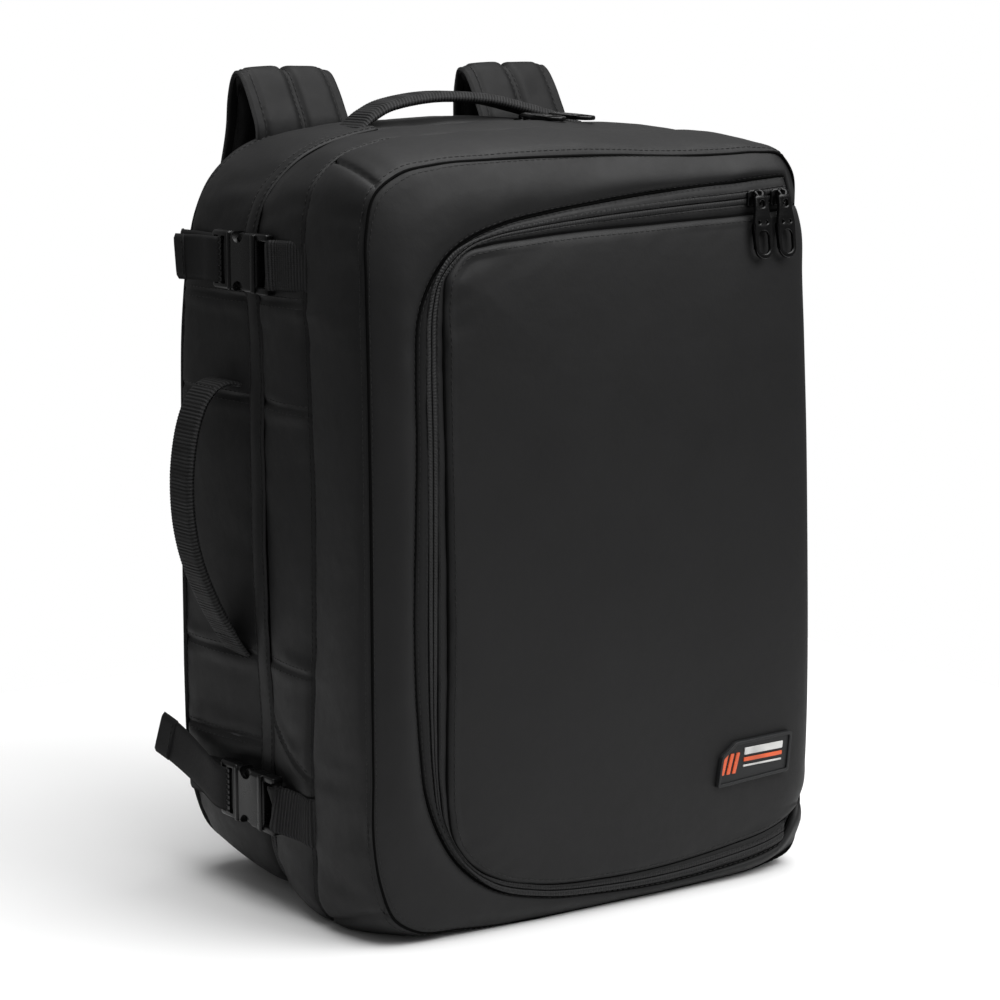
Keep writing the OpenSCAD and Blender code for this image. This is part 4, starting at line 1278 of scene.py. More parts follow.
# ------------------------------------------------------------------ compression straps and buckles on both sides
def side_surface_x(skin, y, z, s=-1):
    j = int(np.argmin(np.abs(skin.P[0, :, 1] - y)))
    col = skin.P[:, j]
    ok = np.where((np.abs(col[:, 0]) > 110) & (np.sign(col[:, 0]) == s))[0]
    i = ok[np.argmin(np.abs(col[ok, 2] - z))]
    return abs(col[i, 0])


def buckle_set(level, side, zc):
    s = side
    nm = f"{level}_{'left' if s < 0 else 'right'}"
    X = lambda a: s * a
    # female body: rounded shell with two windows, a mouth for the prongs and a webbing bar
    lo, hi = sorted((X(147.4), X(156.2)))
    body = rbox("female_buckle_body_" + nm, (lo, -3.6, zc - 15.7), (hi, 24.2, zc + 15.7), 2.4, ACETAL, None, seg=4)
    cutters = []
    for dz in (-16.0, 16.0):
        cutters.append(tmp_rod((X(140), 13.6, zc + dz), (X(165), 13.6, zc + dz), 6.0))
    cutters.append(tmp_box((min(X(149.6), X(153.8)), 2.0, zc - 12.6), (max(X(149.6), X(153.8)), 30, zc + 12.6), 0.8))
    cut(body, *cutters)
    parts = [body]
    # raised lips across both ends of the outer face
    a_, b_ = sorted((X(155.0), X(156.9)))
    parts.append(rbox("fb_lip", (a_, 21.4, zc - 15.4), (b_, 24.3, zc + 15.4), 0.9, ACETAL, None))
    parts.append(rbox("fb_collar", (a_, -3.4, zc - 15.4), (b_, 0.2, zc + 15.4), 0.9, ACETAL, None))
    # collar arms and bar
    for dz in (-14.0, 14.0):
        a_, b_ = sorted((X(148.6), X(155.4)))
        parts.append(rbox("fb_arm", (a_, -14.2, zc + dz - 1.9), (b_, -2.5, zc + dz + 1.9), 1.1, ACETAL, None))
    parts.append(rod("fb_bar", (X(151.6), -12.3, zc - 14), (X(151.6), -12.3, zc + 14), 1.7, ACETAL, None, n=20))
    fb = join(parts, "female_buckle_" + nm + "_moulding")
    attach(fb, "front_half")
    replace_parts(fb, "female_buckle_" + nm)
    # male: ladder frame and two prongs
    lo, hi = sorted((X(148.4), X(155.6)))
    mb = rbox("male_body", (lo, 24.9, zc - 15.6), (hi, 41.6, zc + 15.6), 2.0, ACETAL, None, seg=4)
    mb = cut(mb, tmp_box((min(X(140), X(165)), 27.6, zc - 12.9), (max(X(140), X(165)), 31.4, zc + 12.9), 0.5), tmp_box((min(X(140), X(165)), 34.2, zc - 12.9), (max(X(140), X(165)), 38.6, zc + 12.9), 0.5))
    parts = [mb]
    for yb in (32.8,):
        for k_ in range(9):
            parts.append(rod("mb_tooth", (X(155.7), yb - 1.0, zc - 12 + k_ * 3), (X(155.7), yb + 1.0, zc - 12 + k_ * 3), 0.6, ACETAL, None, n=8, dome=0.3))
    for dz in (-1, 1):
        outer = [(25.5, 7.0 * 1), (25.5, 11.5), (19, 12.3), (17.2, 14.6), (13.6, 15.4), (9.6, 13.4), (6.0, 8.8), (7.4, 7.6), (12.5, 9.0), (20, 7.6)]
        lp = [(y_, zc + dz * z_) for y_, z_ in outer]
        if dz < 0:
            lp = lp[::-1]
        parts.append(plate("mb_prong", [lp], 3.0, 0.6, (X(151.7), 0, 0), (0, 1, 0), (0, 0, 1), ACETAL, None))
    mo = join(parts, "male_buckle_" + nm + "_moulding")
    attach(mo, "clip_" + nm)
    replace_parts(mo, "male_buckle_" + nm)
    # ribbed web to the front
    zf = zc + (0.8 if level == "upper" else -3.5)
    xs_ = side_surface_x(band2, -30, zf, s)
    path = [(X(150.6), -9.0, zc), (X(149.9), -12.3, zc), (X(151.6), -15.2, zc), (X(154.1), -13.4, zc), (X(153.9), -15.5, zc + (zf - zc) * 0.2), (X(151.6), -20, zc + (zf - zc) * 0.4), (X(max(xs_ + 1.6, 148.3)), -30, zc + (zf - zc) * 0.8), (X(148.6), -38, zf), (X(146.6), -42.6, zf), (X(142.5), -43.2, zf)]
    wf = ribbon("front_web_" + nm, spline(path, 120), (0, 0, 1), 26.5, 1.7, WEB, None, nw=16, ribs=2.0, rib_h=0.5, step=0.4)
    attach(wf, "front_half")
    # rear web, smooth, and its free tail beyond the buckle
    rise = 3.0 if level == "upper" else 8.5
    pr = [(X(144.0), 91.5, zc), (X(147.0), 88.0, zc)]
    for y_ in (75, 62, 52, 46):
        pr.append((X(side_surface_x(band3, y_, zc, s) + 1.5), y_, zc))
    pr += [(X(150.4), 41.0, zc), (X(150.9), 36.5, zc), (X(153.9), 33.4, zc)]
    wr = ribbon("rear_web_" + nm, spline(pr, 120), (0, 0, 1), 24.5, 1.5, WEB_S, None, nw=14, step=0.8)
    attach(wr, "rear_half")
    if level == "upper":
        tail = [(X(152.6), 30.0, zc), (X(154.2), 33.0, zc), (X(156.8), 36.8, zc), (X(157.4), 42, zc), (X(156.4), 50, zc - 0.2), (X(156.4), 58, zc - 0.5), (X(157.4), 66, zc - 0.8), (X(158.6), 73.5, zc - 1.0)]
        wdirs = [(0, 0, 1), (0, 0, 1), (0.06 * s, 0, 1)]
    else:
        tail = [(X(152.6), 30.0, zc), (X(154.2), 33.0, zc), (X(156.8), 36.8, zc + 0.3), (X(157.6), 44, zc + 1.5), (X(157.0), 58, zc + 6.0), (X(157.4), 73, zc + 11.5), (X(158.8), 87, zc + 16.5), (X(160.6), 99, zc + 20.0)]
        wdirs = [(0, 0, 1), (0, -0.08, 1), (-0.10 * s, -0.22, 1)]
    wt = ribbon("tail_web_" + nm, spline(tail, 140), wdirs, 24.5, 1.5, WEB_S, None, nw=14, step=0.7)
    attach(wt, "clip_" + nm)
    end = spline(tail, 140)
    hem = ribbon("tail_hem_" + nm, end[-24:], wdirs[-1], 24.9, 3.2, WEB_S, None, nw=12, step=0.7)
    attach(hem, "clip_" + nm)
    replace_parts(wt, "strap_tail_" + nm)
    ends = resample(end[-26:], n=6)
    T_ = unit(ends[1] - ends[2]); Wd = unit(np.array(wdirs[-1], float)); Nn = np.cross(T_, Wd); Nn = Nn * np.sign(Nn[0]) * s
    line = np.array([ends[1] + Wd * w_ + Nn * 1.75 for w_ in np.linspace(-10.5, 10.5, 12)])
    stitches("tail_stitching_" + nm, [(line, np.tile(Nn, (12, 1)))], THREAD, "clip_" + nm, r=0.25)
    return wf, wr


fronts, rears = [], []
for level, zc in (("upper", 352.0), ("lower", 61.5)):
    for s in (-1, 1):
        a_, b_ = buckle_set(level, s, zc)
        fronts.append(a_); rears.append(b_)
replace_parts(fronts[0], "compression_webs_front")
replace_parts(rears[0], "compression_webs_rear")
print("buckles done")


# ------------------------------------------------------------------ handles
def handle(name, core, wdir, width, thick, parent, child, blend_at, node, feet):
    o = ribbon(name, core, wdir, width, thick, WEB, None, nw=18, ribs=1.7, rib_h=0.28, step=0.45)
    return o


# top handle: a stiffened strap that arches from one sewn foot to the other
top_pts = [(-82, 32, 412.5), (-77, 32, 416.6), (-71, 32, 420.6), (-63, 32, 425.8), (-49, 32, 431.4), (-21, 32, 435.0), (12, 32, 433.4), (38, 32, 428.0), (58, 32, 422.8), (70, 32, 419.2), (79, 32, 417.0), (88, 32, 413.5)]
tp = spline(top_pts, 300)
ww = np.interp(np.linspace(0, 1, 40), [0, 0.06, 0.14, 0.86, 0.94, 1], [26, 26, 21, 21, 26, 26])
tt = np.interp(np.linspace(0, 1, 40), [0, 0.07, 0.13, 0.87, 0.93, 1], [2.4, 2.6, 5.6, 5.6, 2.6, 2.4])
th = ribbon("top_handle_grip", tp, (0, 1, 0), ww, tt, WEB, None, nw=18, ribs=1.7, rib_h=0.25, step=0.45)
mid_i = 150
cutp = [(-74, 421.5), (70, 419.0)]


def split_blend(o, axis, lo, hi, span):
    """Splits a handle in two at the middle between lo and hi, closes each cut and returns the two halves."""
    halves = []
    for nm, keep_low in (("_a", True), ("_b", False)):
        c = o.copy(); c.data = o.data.copy(); c.name = o.name + nm; c.data.name = c.name
        scene.collection.objects.link(c)
        bm = bmesh.new(); bm.from_mesh(c.data)
        mid = (lo + hi) / 2 * MM
        co = Vector((0, 0, 0)); co[axis] = mid
        no = Vector((0, 0, 0)); no[axis] = 1
        r_ = bmesh.ops.bisect_plane(bm, geom=list(bm.verts) + list(bm.edges) + list(bm.faces), plane_co=co, plane_no=no, clear_outer=keep_low, clear_inner=not keep_low)
        edges = [e for e in r_["geom_cut"] if isinstance(e, bmesh.types.BMEdge)]
        bmesh.ops.contextual_create(bm, geom=edges)
        bmesh.ops.recalc_face_normals(bm, faces=bm.faces)
        bm.to_mesh(c.data); bm.free()
        st = Vector((0, 0, 0.0)); en = Vector((0, 0, 0.0))
        if keep_low:
            st[axis], en[axis] = lo * MM, (lo + span) * MM
        else:
            st[axis], en[axis] = hi * MM, (hi - span) * MM
        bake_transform(c)
        halves.append(c)
    d = o.data
    bpy.data.objects.remove(o)
    bpy.data.meshes.remove(d)
    return halves


h_top = split_blend(th, 0, -78, 82, 22)
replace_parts(h_top[0], "top_handle", "top_handle_tabs")
top_rows = []
for xx in (-79.5, -74.5, 76.0, 83.5):
    z_ = np.interp(xx, tp[:, 0], tp[:, 2]) + 1.55
    top_rows.append((np.array([(xx, y_, z_) for y_ in np.linspace(21.5, 42.5, 14)]), np.tile([0, 0, 1.0], (14, 1))))
stitches("top_handle_stitching", top_rows, THREAD, "rear_half", r=0.26, lift=0.15)

# side handle on the left
sh = spline([(-141.0, 38, 282.0), (-147.0, 38, 284.5), (-154.5, 38, 286.0), (-162.5, 38, 283.0), (-169.5, 38, 274.0), (-175.0, 38, 258), (-178.0, 38, 236), (-177.2, 38, 212), (-172.5, 38, 190), (-163.5, 38, 168), (-153.5, 38, 149.5), (-147.5, 38, 140.0), (-141, 38, 132)], 300)
wv = np.interp(np.linspace(0, 1, 40), [0, 0.1, 0.18, 0.82, 0.9, 1], [25, 25, 22, 22, 25, 25])
tv_ = np.interp(np.linspace(0, 1, 40), [0, 0.1, 0.17, 0.83, 0.9, 1], [2.2, 2.4, 4.8, 4.8, 2.4, 2.2])
so = ribbon("side_handle_grip", sh, (0, 1, 0), wv, tv_, WEB, None, nw=18, ribs=1.7, rib_h=0.25, step=0.45)
h_side = split_blend(so, 2, 138, 286, 24)
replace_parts(h_side[0], "side_handle", "side_handle_tabs")
rows_s = []
for ii2 in (36, 41, 262, 268):
    q_, tq_ = sh[ii2], unit(sh[ii2 + 1] - sh[ii2 - 1])
    nq_ = np.array([-abs(tq_[2]), 0, abs(tq_[0])]) if ii2 < 100 else np.array([-abs(tq_[2]), 0, -abs(tq_[0])])
    rows_s.append((np.array([q_ + nq_ * 1.6 + (0, y_, 0) for y_ in np.linspace(-10.5, 10.5, 14)]), np.tile(nq_, (14, 1))))
stitches("side_handle_stitching", rows_s, THREAD, "rear_half", r=0.26, lift=0.2)
print("handles done")

# ------------------------------------------------------------------ sliders and pulls
def slider_body(name, org, ex, ey, ez, body, node):
    """A zip slider. ex runs along the zip, ey towards the pull, ez out of the bag."""
    org, ex, ey, ez = (np.asarray(v, float) for v in (org, ex, ey, ez))
    out = [(-6.2, -3.4), (-4.6, -4.4), (4.0, -4.0), (6.4, -2.4), (6.4, 2.4), (4.0, 4.0), (-4.6, 4.4), (-6.2, 3.4)]
    def top(h, sc, th, bev, nm):
        return plate(nm, [[(a * sc, b_ * sc) for a, b_ in out]], th, bev, org + ez * h, ex, ey, GLOSS, None)
    parts = [top(0.9, 1.0, 1.5, 0.5, "sl_top"), top(-1.6, 0.96, 1.0, 0.35, "sl_low")]
    # the bridge that the pull hangs on: a crossing loop of round wire
    for sgn in (-1, 1):
        pts = [org + ex * (sgn * 1.0) + ey * (-3.6) + ez * 1.2, org + ex * (sgn * 2.2) + ey * (-2.6) + ez * 3.2, org + ex * (sgn * 0.8) + ey * (0.2) + ez * 4.3, org + ex * (-sgn * 1.2) + ey * (2.6) + ez * 3.1, org + ex * (-sgn * 1.8) + ey * (3.6) + ez * 1.2]
        c_ = spline(pts, 30)
        t_ = unit(np.gradient(c_, axis=0))
        w_ = unit(np.cross(t_, ey + 0.01)); u_ = np.cross(t_, w_)
        K = 10
        V = np.stack([c_ + (w_ * math.cos(2 * math.pi * k_ / K) + u_ * math.sin(2 * math.pi * k_ / K)) * 0.95 for k_ in range(K)], 1)
        F_ = grid_faces(30, K, False, True) + [tuple(range(K))[::-1], tuple(29 * K + k_ for k_ in range(K))]
        o = finish_mesh("sl_wire", V.reshape(-1, 3), F_, GLOSS, None)
        outward(o)
        parts.append(o)
    o = join(parts, name)
    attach(o, body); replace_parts(o, node)
    return o


def pull_tab(name, org, ex, ey, tilt, body, node, L=32.5):
    """The long pull: tapered shoulders, a small eye at the top and a large rounded window at the bottom."""
    org, ex, ey = (np.asarray(v, float) for v in (org, ex, ey))
    ez = np.cross(ex, ey)
    ey2 = ey * math.cos(tilt) + ez * math.sin(tilt)
    w = 6.1
    outer = [(-3.2, -1.8), (3.2, -1.8), (4.4, -0.6), (4.7, 5.5), (5.4, 9.0), (w, 12.5), (w, L - 5.4)] + arc(0, L - w, w, 0, 180, 14) + [(-w, 12.5), (-5.4, 9.0), (-4.7, 5.5), (-4.4, -0.6)]
    eye = rrect2(-1.8, 1.8, 0.6, 4.6, 1.2, 4)
    win = rrect2(-3.7, 3.7, 17.2, L - 2.9, 3.3, 6)
    dot1 = arc(-2.6, 12.6, 0.9, 0, 330, 11)
    dot2 = arc(2.6, 12.6, 0.9, 0, 330, 11)
    p = plate(name, [outer, eye, win, dot1, dot2], 2.3, 0.7, org, ex, ey2, GLOSS, None)
    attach(p, body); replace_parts(p, node)
    return p


down = np.array([0, 0, -1.0])
outF = np.array([0, -1.0, 0])
for side, xx, body in (("left", 94.5, "pocket_slider_left"), ("right", 111.5, "pocket_slider_right")):
    lo_, hi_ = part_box("pocket_slider_" + side)
    xc = (lo_.x + hi_.x) / 2 / MM + (6.5 if side == "left" else 4.0)  # the cloth zip runs a little further than the rigid one
    slider_body("pocket_slider_body_" + side, (xc, -106.2, 382.5), (1.0, 0, 0.06), (0, 0, -1.0), (0, -1.0, 0), "pocket_slider_" + side, "pocket_slider_" + side)
    e_x = np.array([-1.0, 0, 0]) if False else np.array([1.0, 0, 0])
    # ex x ey must point out of the bag: (-x) x (-z) = ... so the plate is built from +z to -z with ex = -x
    pull_tab("pocket_pull_tab_" + side, (xc, -110.9, 382.0), (-1.0, 0, 0), (0, 0, -1.0), math.radians(-7) * -1, "pocket_pull_" + side, "pocket_pull_" + side)
for side in ("left", "right"):
    lo_, hi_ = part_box("main_slider_" + side)
    xc = (lo_.x + hi_.x) / 2 / MM
    zt = float(np.interp(-xc, -zline(12, 0)[int(STARTS[17]):int(STARTS[21]), 0], zline(12, 0)[int(STARTS[17]):int(STARTS[21]), 2])) if False else 420.6
    slider_body("main_slider_body_" + side, (xc, 12.0, 420.6), (1.0, 0, 0), (0, -1.0, 0), (0, 0, 1.0), "main_slider_" + side, "main_slider_" + side)
    pull_tab("main_pull_tab_" + side, (xc, 11.0, 424.4), (-1.0, 0, 0), (0, -1.0, 0), math.radians(-2), "main_pull_" + side, "main_pull_" + side)
print("sliders done")


# ------------------------------------------------------------------ padded pieces: shoulder straps and back panel
def inflate(o, voxel=5.0, pressure=4.0, cap=4.0, frames=20):
    """Puffs a closed form with Blender's Cloth and keeps the result as the mesh."""
    md = o.modifiers.new("remesh", "REMESH")
    md.mode = "VOXEL"
    md.voxel_size = voxel * MM
    bpy.context.view_layer.update()
    me = bpy.data.meshes.new_from_object(o.evaluated_get(bpy.context.evaluated_depsgraph_get()))
    old = o.data
    o.modifiers.clear()
    o.data = me
    bpy.data.meshes.remove(old)
    me.name = o.name
    n = len(me.vertices)
    rest = np.zeros(n * 3); me.vertices.foreach_get("co", rest); rest = rest.reshape(-1, 3)
    md = o.modifiers.new("cloth", "CLOTH")
    st = md.settings
    st.quality = 5
    st.mass = 0.15
    st.tension_stiffness = 25
    st.compression_stiffness = 25
    st.bending_stiffness = 1.5
    st.use_pressure = True
    st.uniform_pressure_force = pressure
    st.effector_weights.gravity = 0
    md.collision_settings.use_collision = False
    md.point_cache.frame_start = 1
    md.point_cache.frame_end = frames
    for f in range(1, frames + 1):
        scene.frame_set(f)
    bpy.context.view_layer.update()
    ev = o.evaluated_get(bpy.context.evaluated_depsgraph_get())
    em = ev.to_mesh()
    co = np.zeros(len(em.vertices) * 3); em.vertices.foreach_get("co", co); co = co.reshape(-1, 3)
    ev.to_mesh_clear()
    o.modifiers.clear()
    scene.frame_set(1)
    if len(co) == n:
        d = co - rest
        d -= d.mean(0)
        L = np.linalg.norm(d, axis=1)
        d *= np.minimum(1, cap * MM / np.maximum(L, 1e-9))[:, None]
        rest = rest + d
    me.vertices.foreach_set("co", rest.astype(np.float32).ravel())
    me.update()
    md = o.modifiers.new("sub", "SUBSURF")
    md.levels = md.render_levels = 1
    bpy.context.view_layer.update()
    me2 = bpy.data.meshes.new_from_object(o.evaluated_get(bpy.context.evaluated_depsgraph_get()))
    o.modifiers.clear()
    o.data = me2
    bpy.data.meshes.remove(me)
    me2.name = o.name
    me2.polygons.foreach_set("use_smooth", np.full(len(me2.polygons), True))
    return o


def verts_of(o):
    co = np.zeros(len(o.data.vertices) * 3)
    o.data.vertices.foreach_get("co", co)
    return co.reshape(-1, 3) / MM


def set_verts(o, V):
    o.data.vertices.foreach_set("co", (V * MM).astype(np.float32).ravel())
    o.data.update()


def shoulder_strap(side):
    s = -1 if side == "left" else 1
    yz = [(103.6, 350), (103.0, 372), (98.0, 390), (90.5, 404), (89.0, 416), (94.5, 428), (101.0, 438.5), (107.5, 445.5), (114.5, 445.5), (119.5, 434), (124.0, 412), (130.0, 372), (132.5, 300), (129.5, 250), (126, 200), (122, 162), (119, 138)]
    xs_ = [75, 75, 75, 75.5, 76, 76, 76, 76, 76.5, 77, 78, 81, 86, 91, 96, 100, 102]
    lean = [0, 0, 3, 7, 8, 8, 8, 8, 8, 8.5, 10, 9, 5, 2, 0, 0, 0]
    pts = np.array([(s * x + dx_, y, z) for x, dx_, (y, z) in zip(xs_, lean, yz)], float)
    p = spline(pts, 260)
    width = [64, 64, 62, 61, 60, 60, 60, 60, 60, 59, 57, 54, 50, 46, 42, 38]
    thick = [5.0, 8.5, 10.5, 11, 11, 11, 11, 11, 11, 10, 10, 10, 9.5, 9, 8, 5.5]
    body = ribbon("shoulder_strap_" + side + "_pad", p, (1, 0, 0), width, np.array(thick) * 0.8, FAB_S, None, nw=16, step=2.0)
    inflate(body, voxel=3.6, pressure=4.0, cap=1.8)
    V = verts_of(body)
    t = unit(np.gradient(p, axis=0))
    out = np.empty(len(V), int)
    for a0 in range(0, len(V), 4000):
        out[a0:a0 + 4000] = np.argmin(((V[a0:a0 + 4000, None] - p[None]) ** 2).sum(-1), 1)
    c, tt_ = p[out], t[out]
    w = np.array([1.0, 0, 0]) - (tt_[:, :1]) * tt_
    w = unit(w)
    nrm = np.cross(tt_, w)
    u = ((V - c) * w).sum(1)
    h = ((V - c) * nrm).sum(1)
    ww_ = np.interp(out / 259, np.linspace(0, 1, len(width)), width)
    # stitched channel down the middle, and bound edges
    g = 3.0 * np.exp(-(u / 2.6) ** 2) * (out > 25) * (out < 245)
    e = 0.9 * np.exp(-((np.abs(u) - (ww_ / 2 - 6.0)) / 1.2) ** 2)
    h2 = np.sign(h) * np.maximum(np.abs(h) - (g + e), 0.6)
    noise = 0.35 * W_MID(V) + 0.2 * W_FOLD(V * 1.2)
    V = c + w * u[:, None] + nrm * (h2 + np.sign(h) * noise * 0.8)[:, None] + tt_ * (((V - c) * tt_).sum(1))[:, None]
    set_verts(body, V)
    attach(body, "rear_half")
    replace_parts(body, "shoulder_strap_" + side)
    # piping along both edges and the channel's stitches on both faces
    T_ = unit(np.gradient(p, axis=0)); W_ = unit(np.array([1.0, 0, 0]) - T_[:, :1] * T_); N_ = np.cross(T_, W_)
    wid = np.interp(np.linspace(0, 1, 260), np.linspace(0, 1, len(width)), width)
    thk = np.interp(np.linspace(0, 1, 260), np.linspace(0, 1, len(thick)), thick)
    runs_ = []
    for sg in (-1, 1):
        for du in (-1.6, 1.6):
            runs_.append((p[28:240] + W_[28:240] * du + N_[28:240] * sg * (thk[28:240, None] / 2 * 0.86 - 1.3), N_[28:240] * sg))
        for du in (-1, 1):
            runs_.append((p[20:245] + W_[20:245] * (du * (wid[20:245, None] / 2 - 6.0)) + N_[20:245] * sg * (thk[20:245, None] / 2 * 0.80 - 0.2), N_[20:245] * sg))
    tree = BVHTree.FromPolygons([tuple(q_) for q_ in V], [tuple(f_.vertices) for f_ in body.data.polygons])
    laid = []
    for pts_, nn_ in runs_:
        run = np.array(pts_, float)
        for i_ in range(len(run)):
            hit = tree.ray_cast(Vector(run[i_] + nn_[i_] * 8.0), Vector(-nn_[i_]), 16.0)
            if hit[0] is not None:
                run[i_] = hit[0]
        laid.append((run, nn_))
    stitches("shoulder_strap_stitching_" + side, laid, THREAD, "rear_half", r=0.22, lift=0.1)
    for du in (-1, 1):
        e_ = p + W_ * (du * (wid[:, None] / 2 - 3.2))
        o = ribbon(f"strap_binding_{side}_{'a' if du < 0 else 'b'}", e_[6:-6], W_[130], 7.0, 3.4, FAB_S, "rear_half", nw=8, step=1.5)
    return body, p


sl, spl = shoulder_strap("left")
sr, spr = shoulder_strap("right")

# yoke: a sewn panel that covers the roots of both straps
yk = []
for t in np.linspace(0, 1, 18):
    z_ = 338 + (397 - 338) * t
    hw = 112 - 6 * t
    row_ = []
    for x_ in np.linspace(-hw, hw, 90):
        under = math.exp(-((abs(x_) - 75) / 34) ** 4) * (0.35 + 0.65 * t) * 7.5
        row_.append((x_, 99.4 + under + 0.25 * math.sin(x_ / 9 + t * 5), z_))
    yk.append(np.array(row_))
yo, Py, Ny = cloth_strip("strap_yoke_panel", yk, FAB, "rear_half", 1.4, face=(0, 1, 0))
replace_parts(yo, "strap_yoke")
stitches("yoke_stitching", [(Py[:, j] + (0, 0.6, 0), np.tile([0, 1.0, 0], (90, 1))) for j in (1, 16)], THREAD, "rear_half", lift=0.3)

# back panel: padded spacer mesh with channels, set into the rear seam
RD = ring_at(90.0)
nD = out2(RD)
cxy = np.array([0.0, 208.0])
K = 60
fr = 1 - np.concatenate([np.linspace(0, 0.12, 16), np.linspace(0.14, 0.97, 46)])
pan = []
idx = np.arange(0, NR, 3)
for f in fr:
    c_ = cxy + (RD[idx] - nD[idx] * 1.5 - cxy) * f
    pan.append(c_)
pan = np.stack(pan, 1)
X_, Z_ = pan[..., 0], pan[..., 1]
dd = (1 - fr)[None, :] * np.linalg.norm(RD[idx] - cxy, axis=1)[:, None]
yb_ = 88.6 + 9.6 * (1 - np.exp(-dd / 5.0))


def pad_shape(x, z):
    h = np.zeros_like(x)
    for (x0, x1, z0, z1, r_) in ((-104, -18, 60, 190, 16), (18, 104, 60, 190, 16), (-104, -18, 202, 326, 16), (18, 104, 202, 326, 16)):
        qx = np.maximum(np.maximum(x0 + r_ - x, x - x1 + r_), 0)
        qz = np.maximum(np.maximum(z0 + r_ - z, z - z1 + r_), 0)
        d_ = r_ - np.hypot(qx, qz)
        ins = np.minimum(d_, np.minimum(np.minimum(x - x0, x1 - x), np.minimum(z - z0, z1 - z)))
        h = np.maximum(h, 5.2 * (1 - np.exp(-np.maximum(ins, 0) / 6.0)))
    return h


yb_ = yb_ + pad_shape(X_, Z_) * np.clip(dd / 12, 0, 1) + 0.5 * W_MID(np.stack([X_, 0 * X_, Z_], -1)) * np.clip(dd / 10, 0, 1)
nI, mI = X_.shape
Vb = np.stack([X_, yb_, Z_], -1)
Vb[..., 2] = np.maximum(Vb[..., 2], 0.5)
Vi = np.stack([X_ * 0.99, np.full_like(X_, 86.4), (Z_ - 208) * 0.99 + 208], -1)
F = grid_faces(nI, mI, True, False) + grid_faces(nI, mI, True, False, base=nI * mI, flip=True)
F += [(i * mI, ((i + 1) % nI) * mI, nI * mI + ((i + 1) % nI) * mI, nI * mI + i * mI) for i in range(nI)]
F += [tuple(i * mI + mI - 1 for i in range(nI)), tuple(nI * mI + i * mI + mI - 1 for i in range(nI))[::-1]]
bp_o = finish_mesh("back_panel_pad", np.concatenate([Vb.reshape(-1, 3), Vi.reshape(-1, 3)]), F, MESH, None)
outward(bp_o)
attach(bp_o, "rear_half")
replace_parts(bp_o, "back_panel")
# piping round the back seam
pipe = np.stack([RD[:, 0] - nD[:, 0] * 0.4, np.full(NR, 89.6), RD[:, 1] - nD[:, 1] * 0.4], 1)
pipe[:, 2] = np.maximum(pipe[:, 2], 1.8)
K8 = 8
tq = unit(np.roll(pipe, -1, 0) - np.roll(pipe, 1, 0))
wq = unit(np.cross(tq, [0, 1.0, 0])); uq = np.cross(tq, wq)
Vp = np.stack([pipe + (wq * math.cos(2 * math.pi * k_ / K8) + uq * math.sin(2 * math.pi * k_ / K8)) * 1.5 for k_ in range(K8)], 1)
pp = finish_mesh("back_piping", Vp.reshape(-1, 3), grid_faces(NR, K8, True, True), WEB_S, None)
outward(pp)
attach(pp, "rear_half")

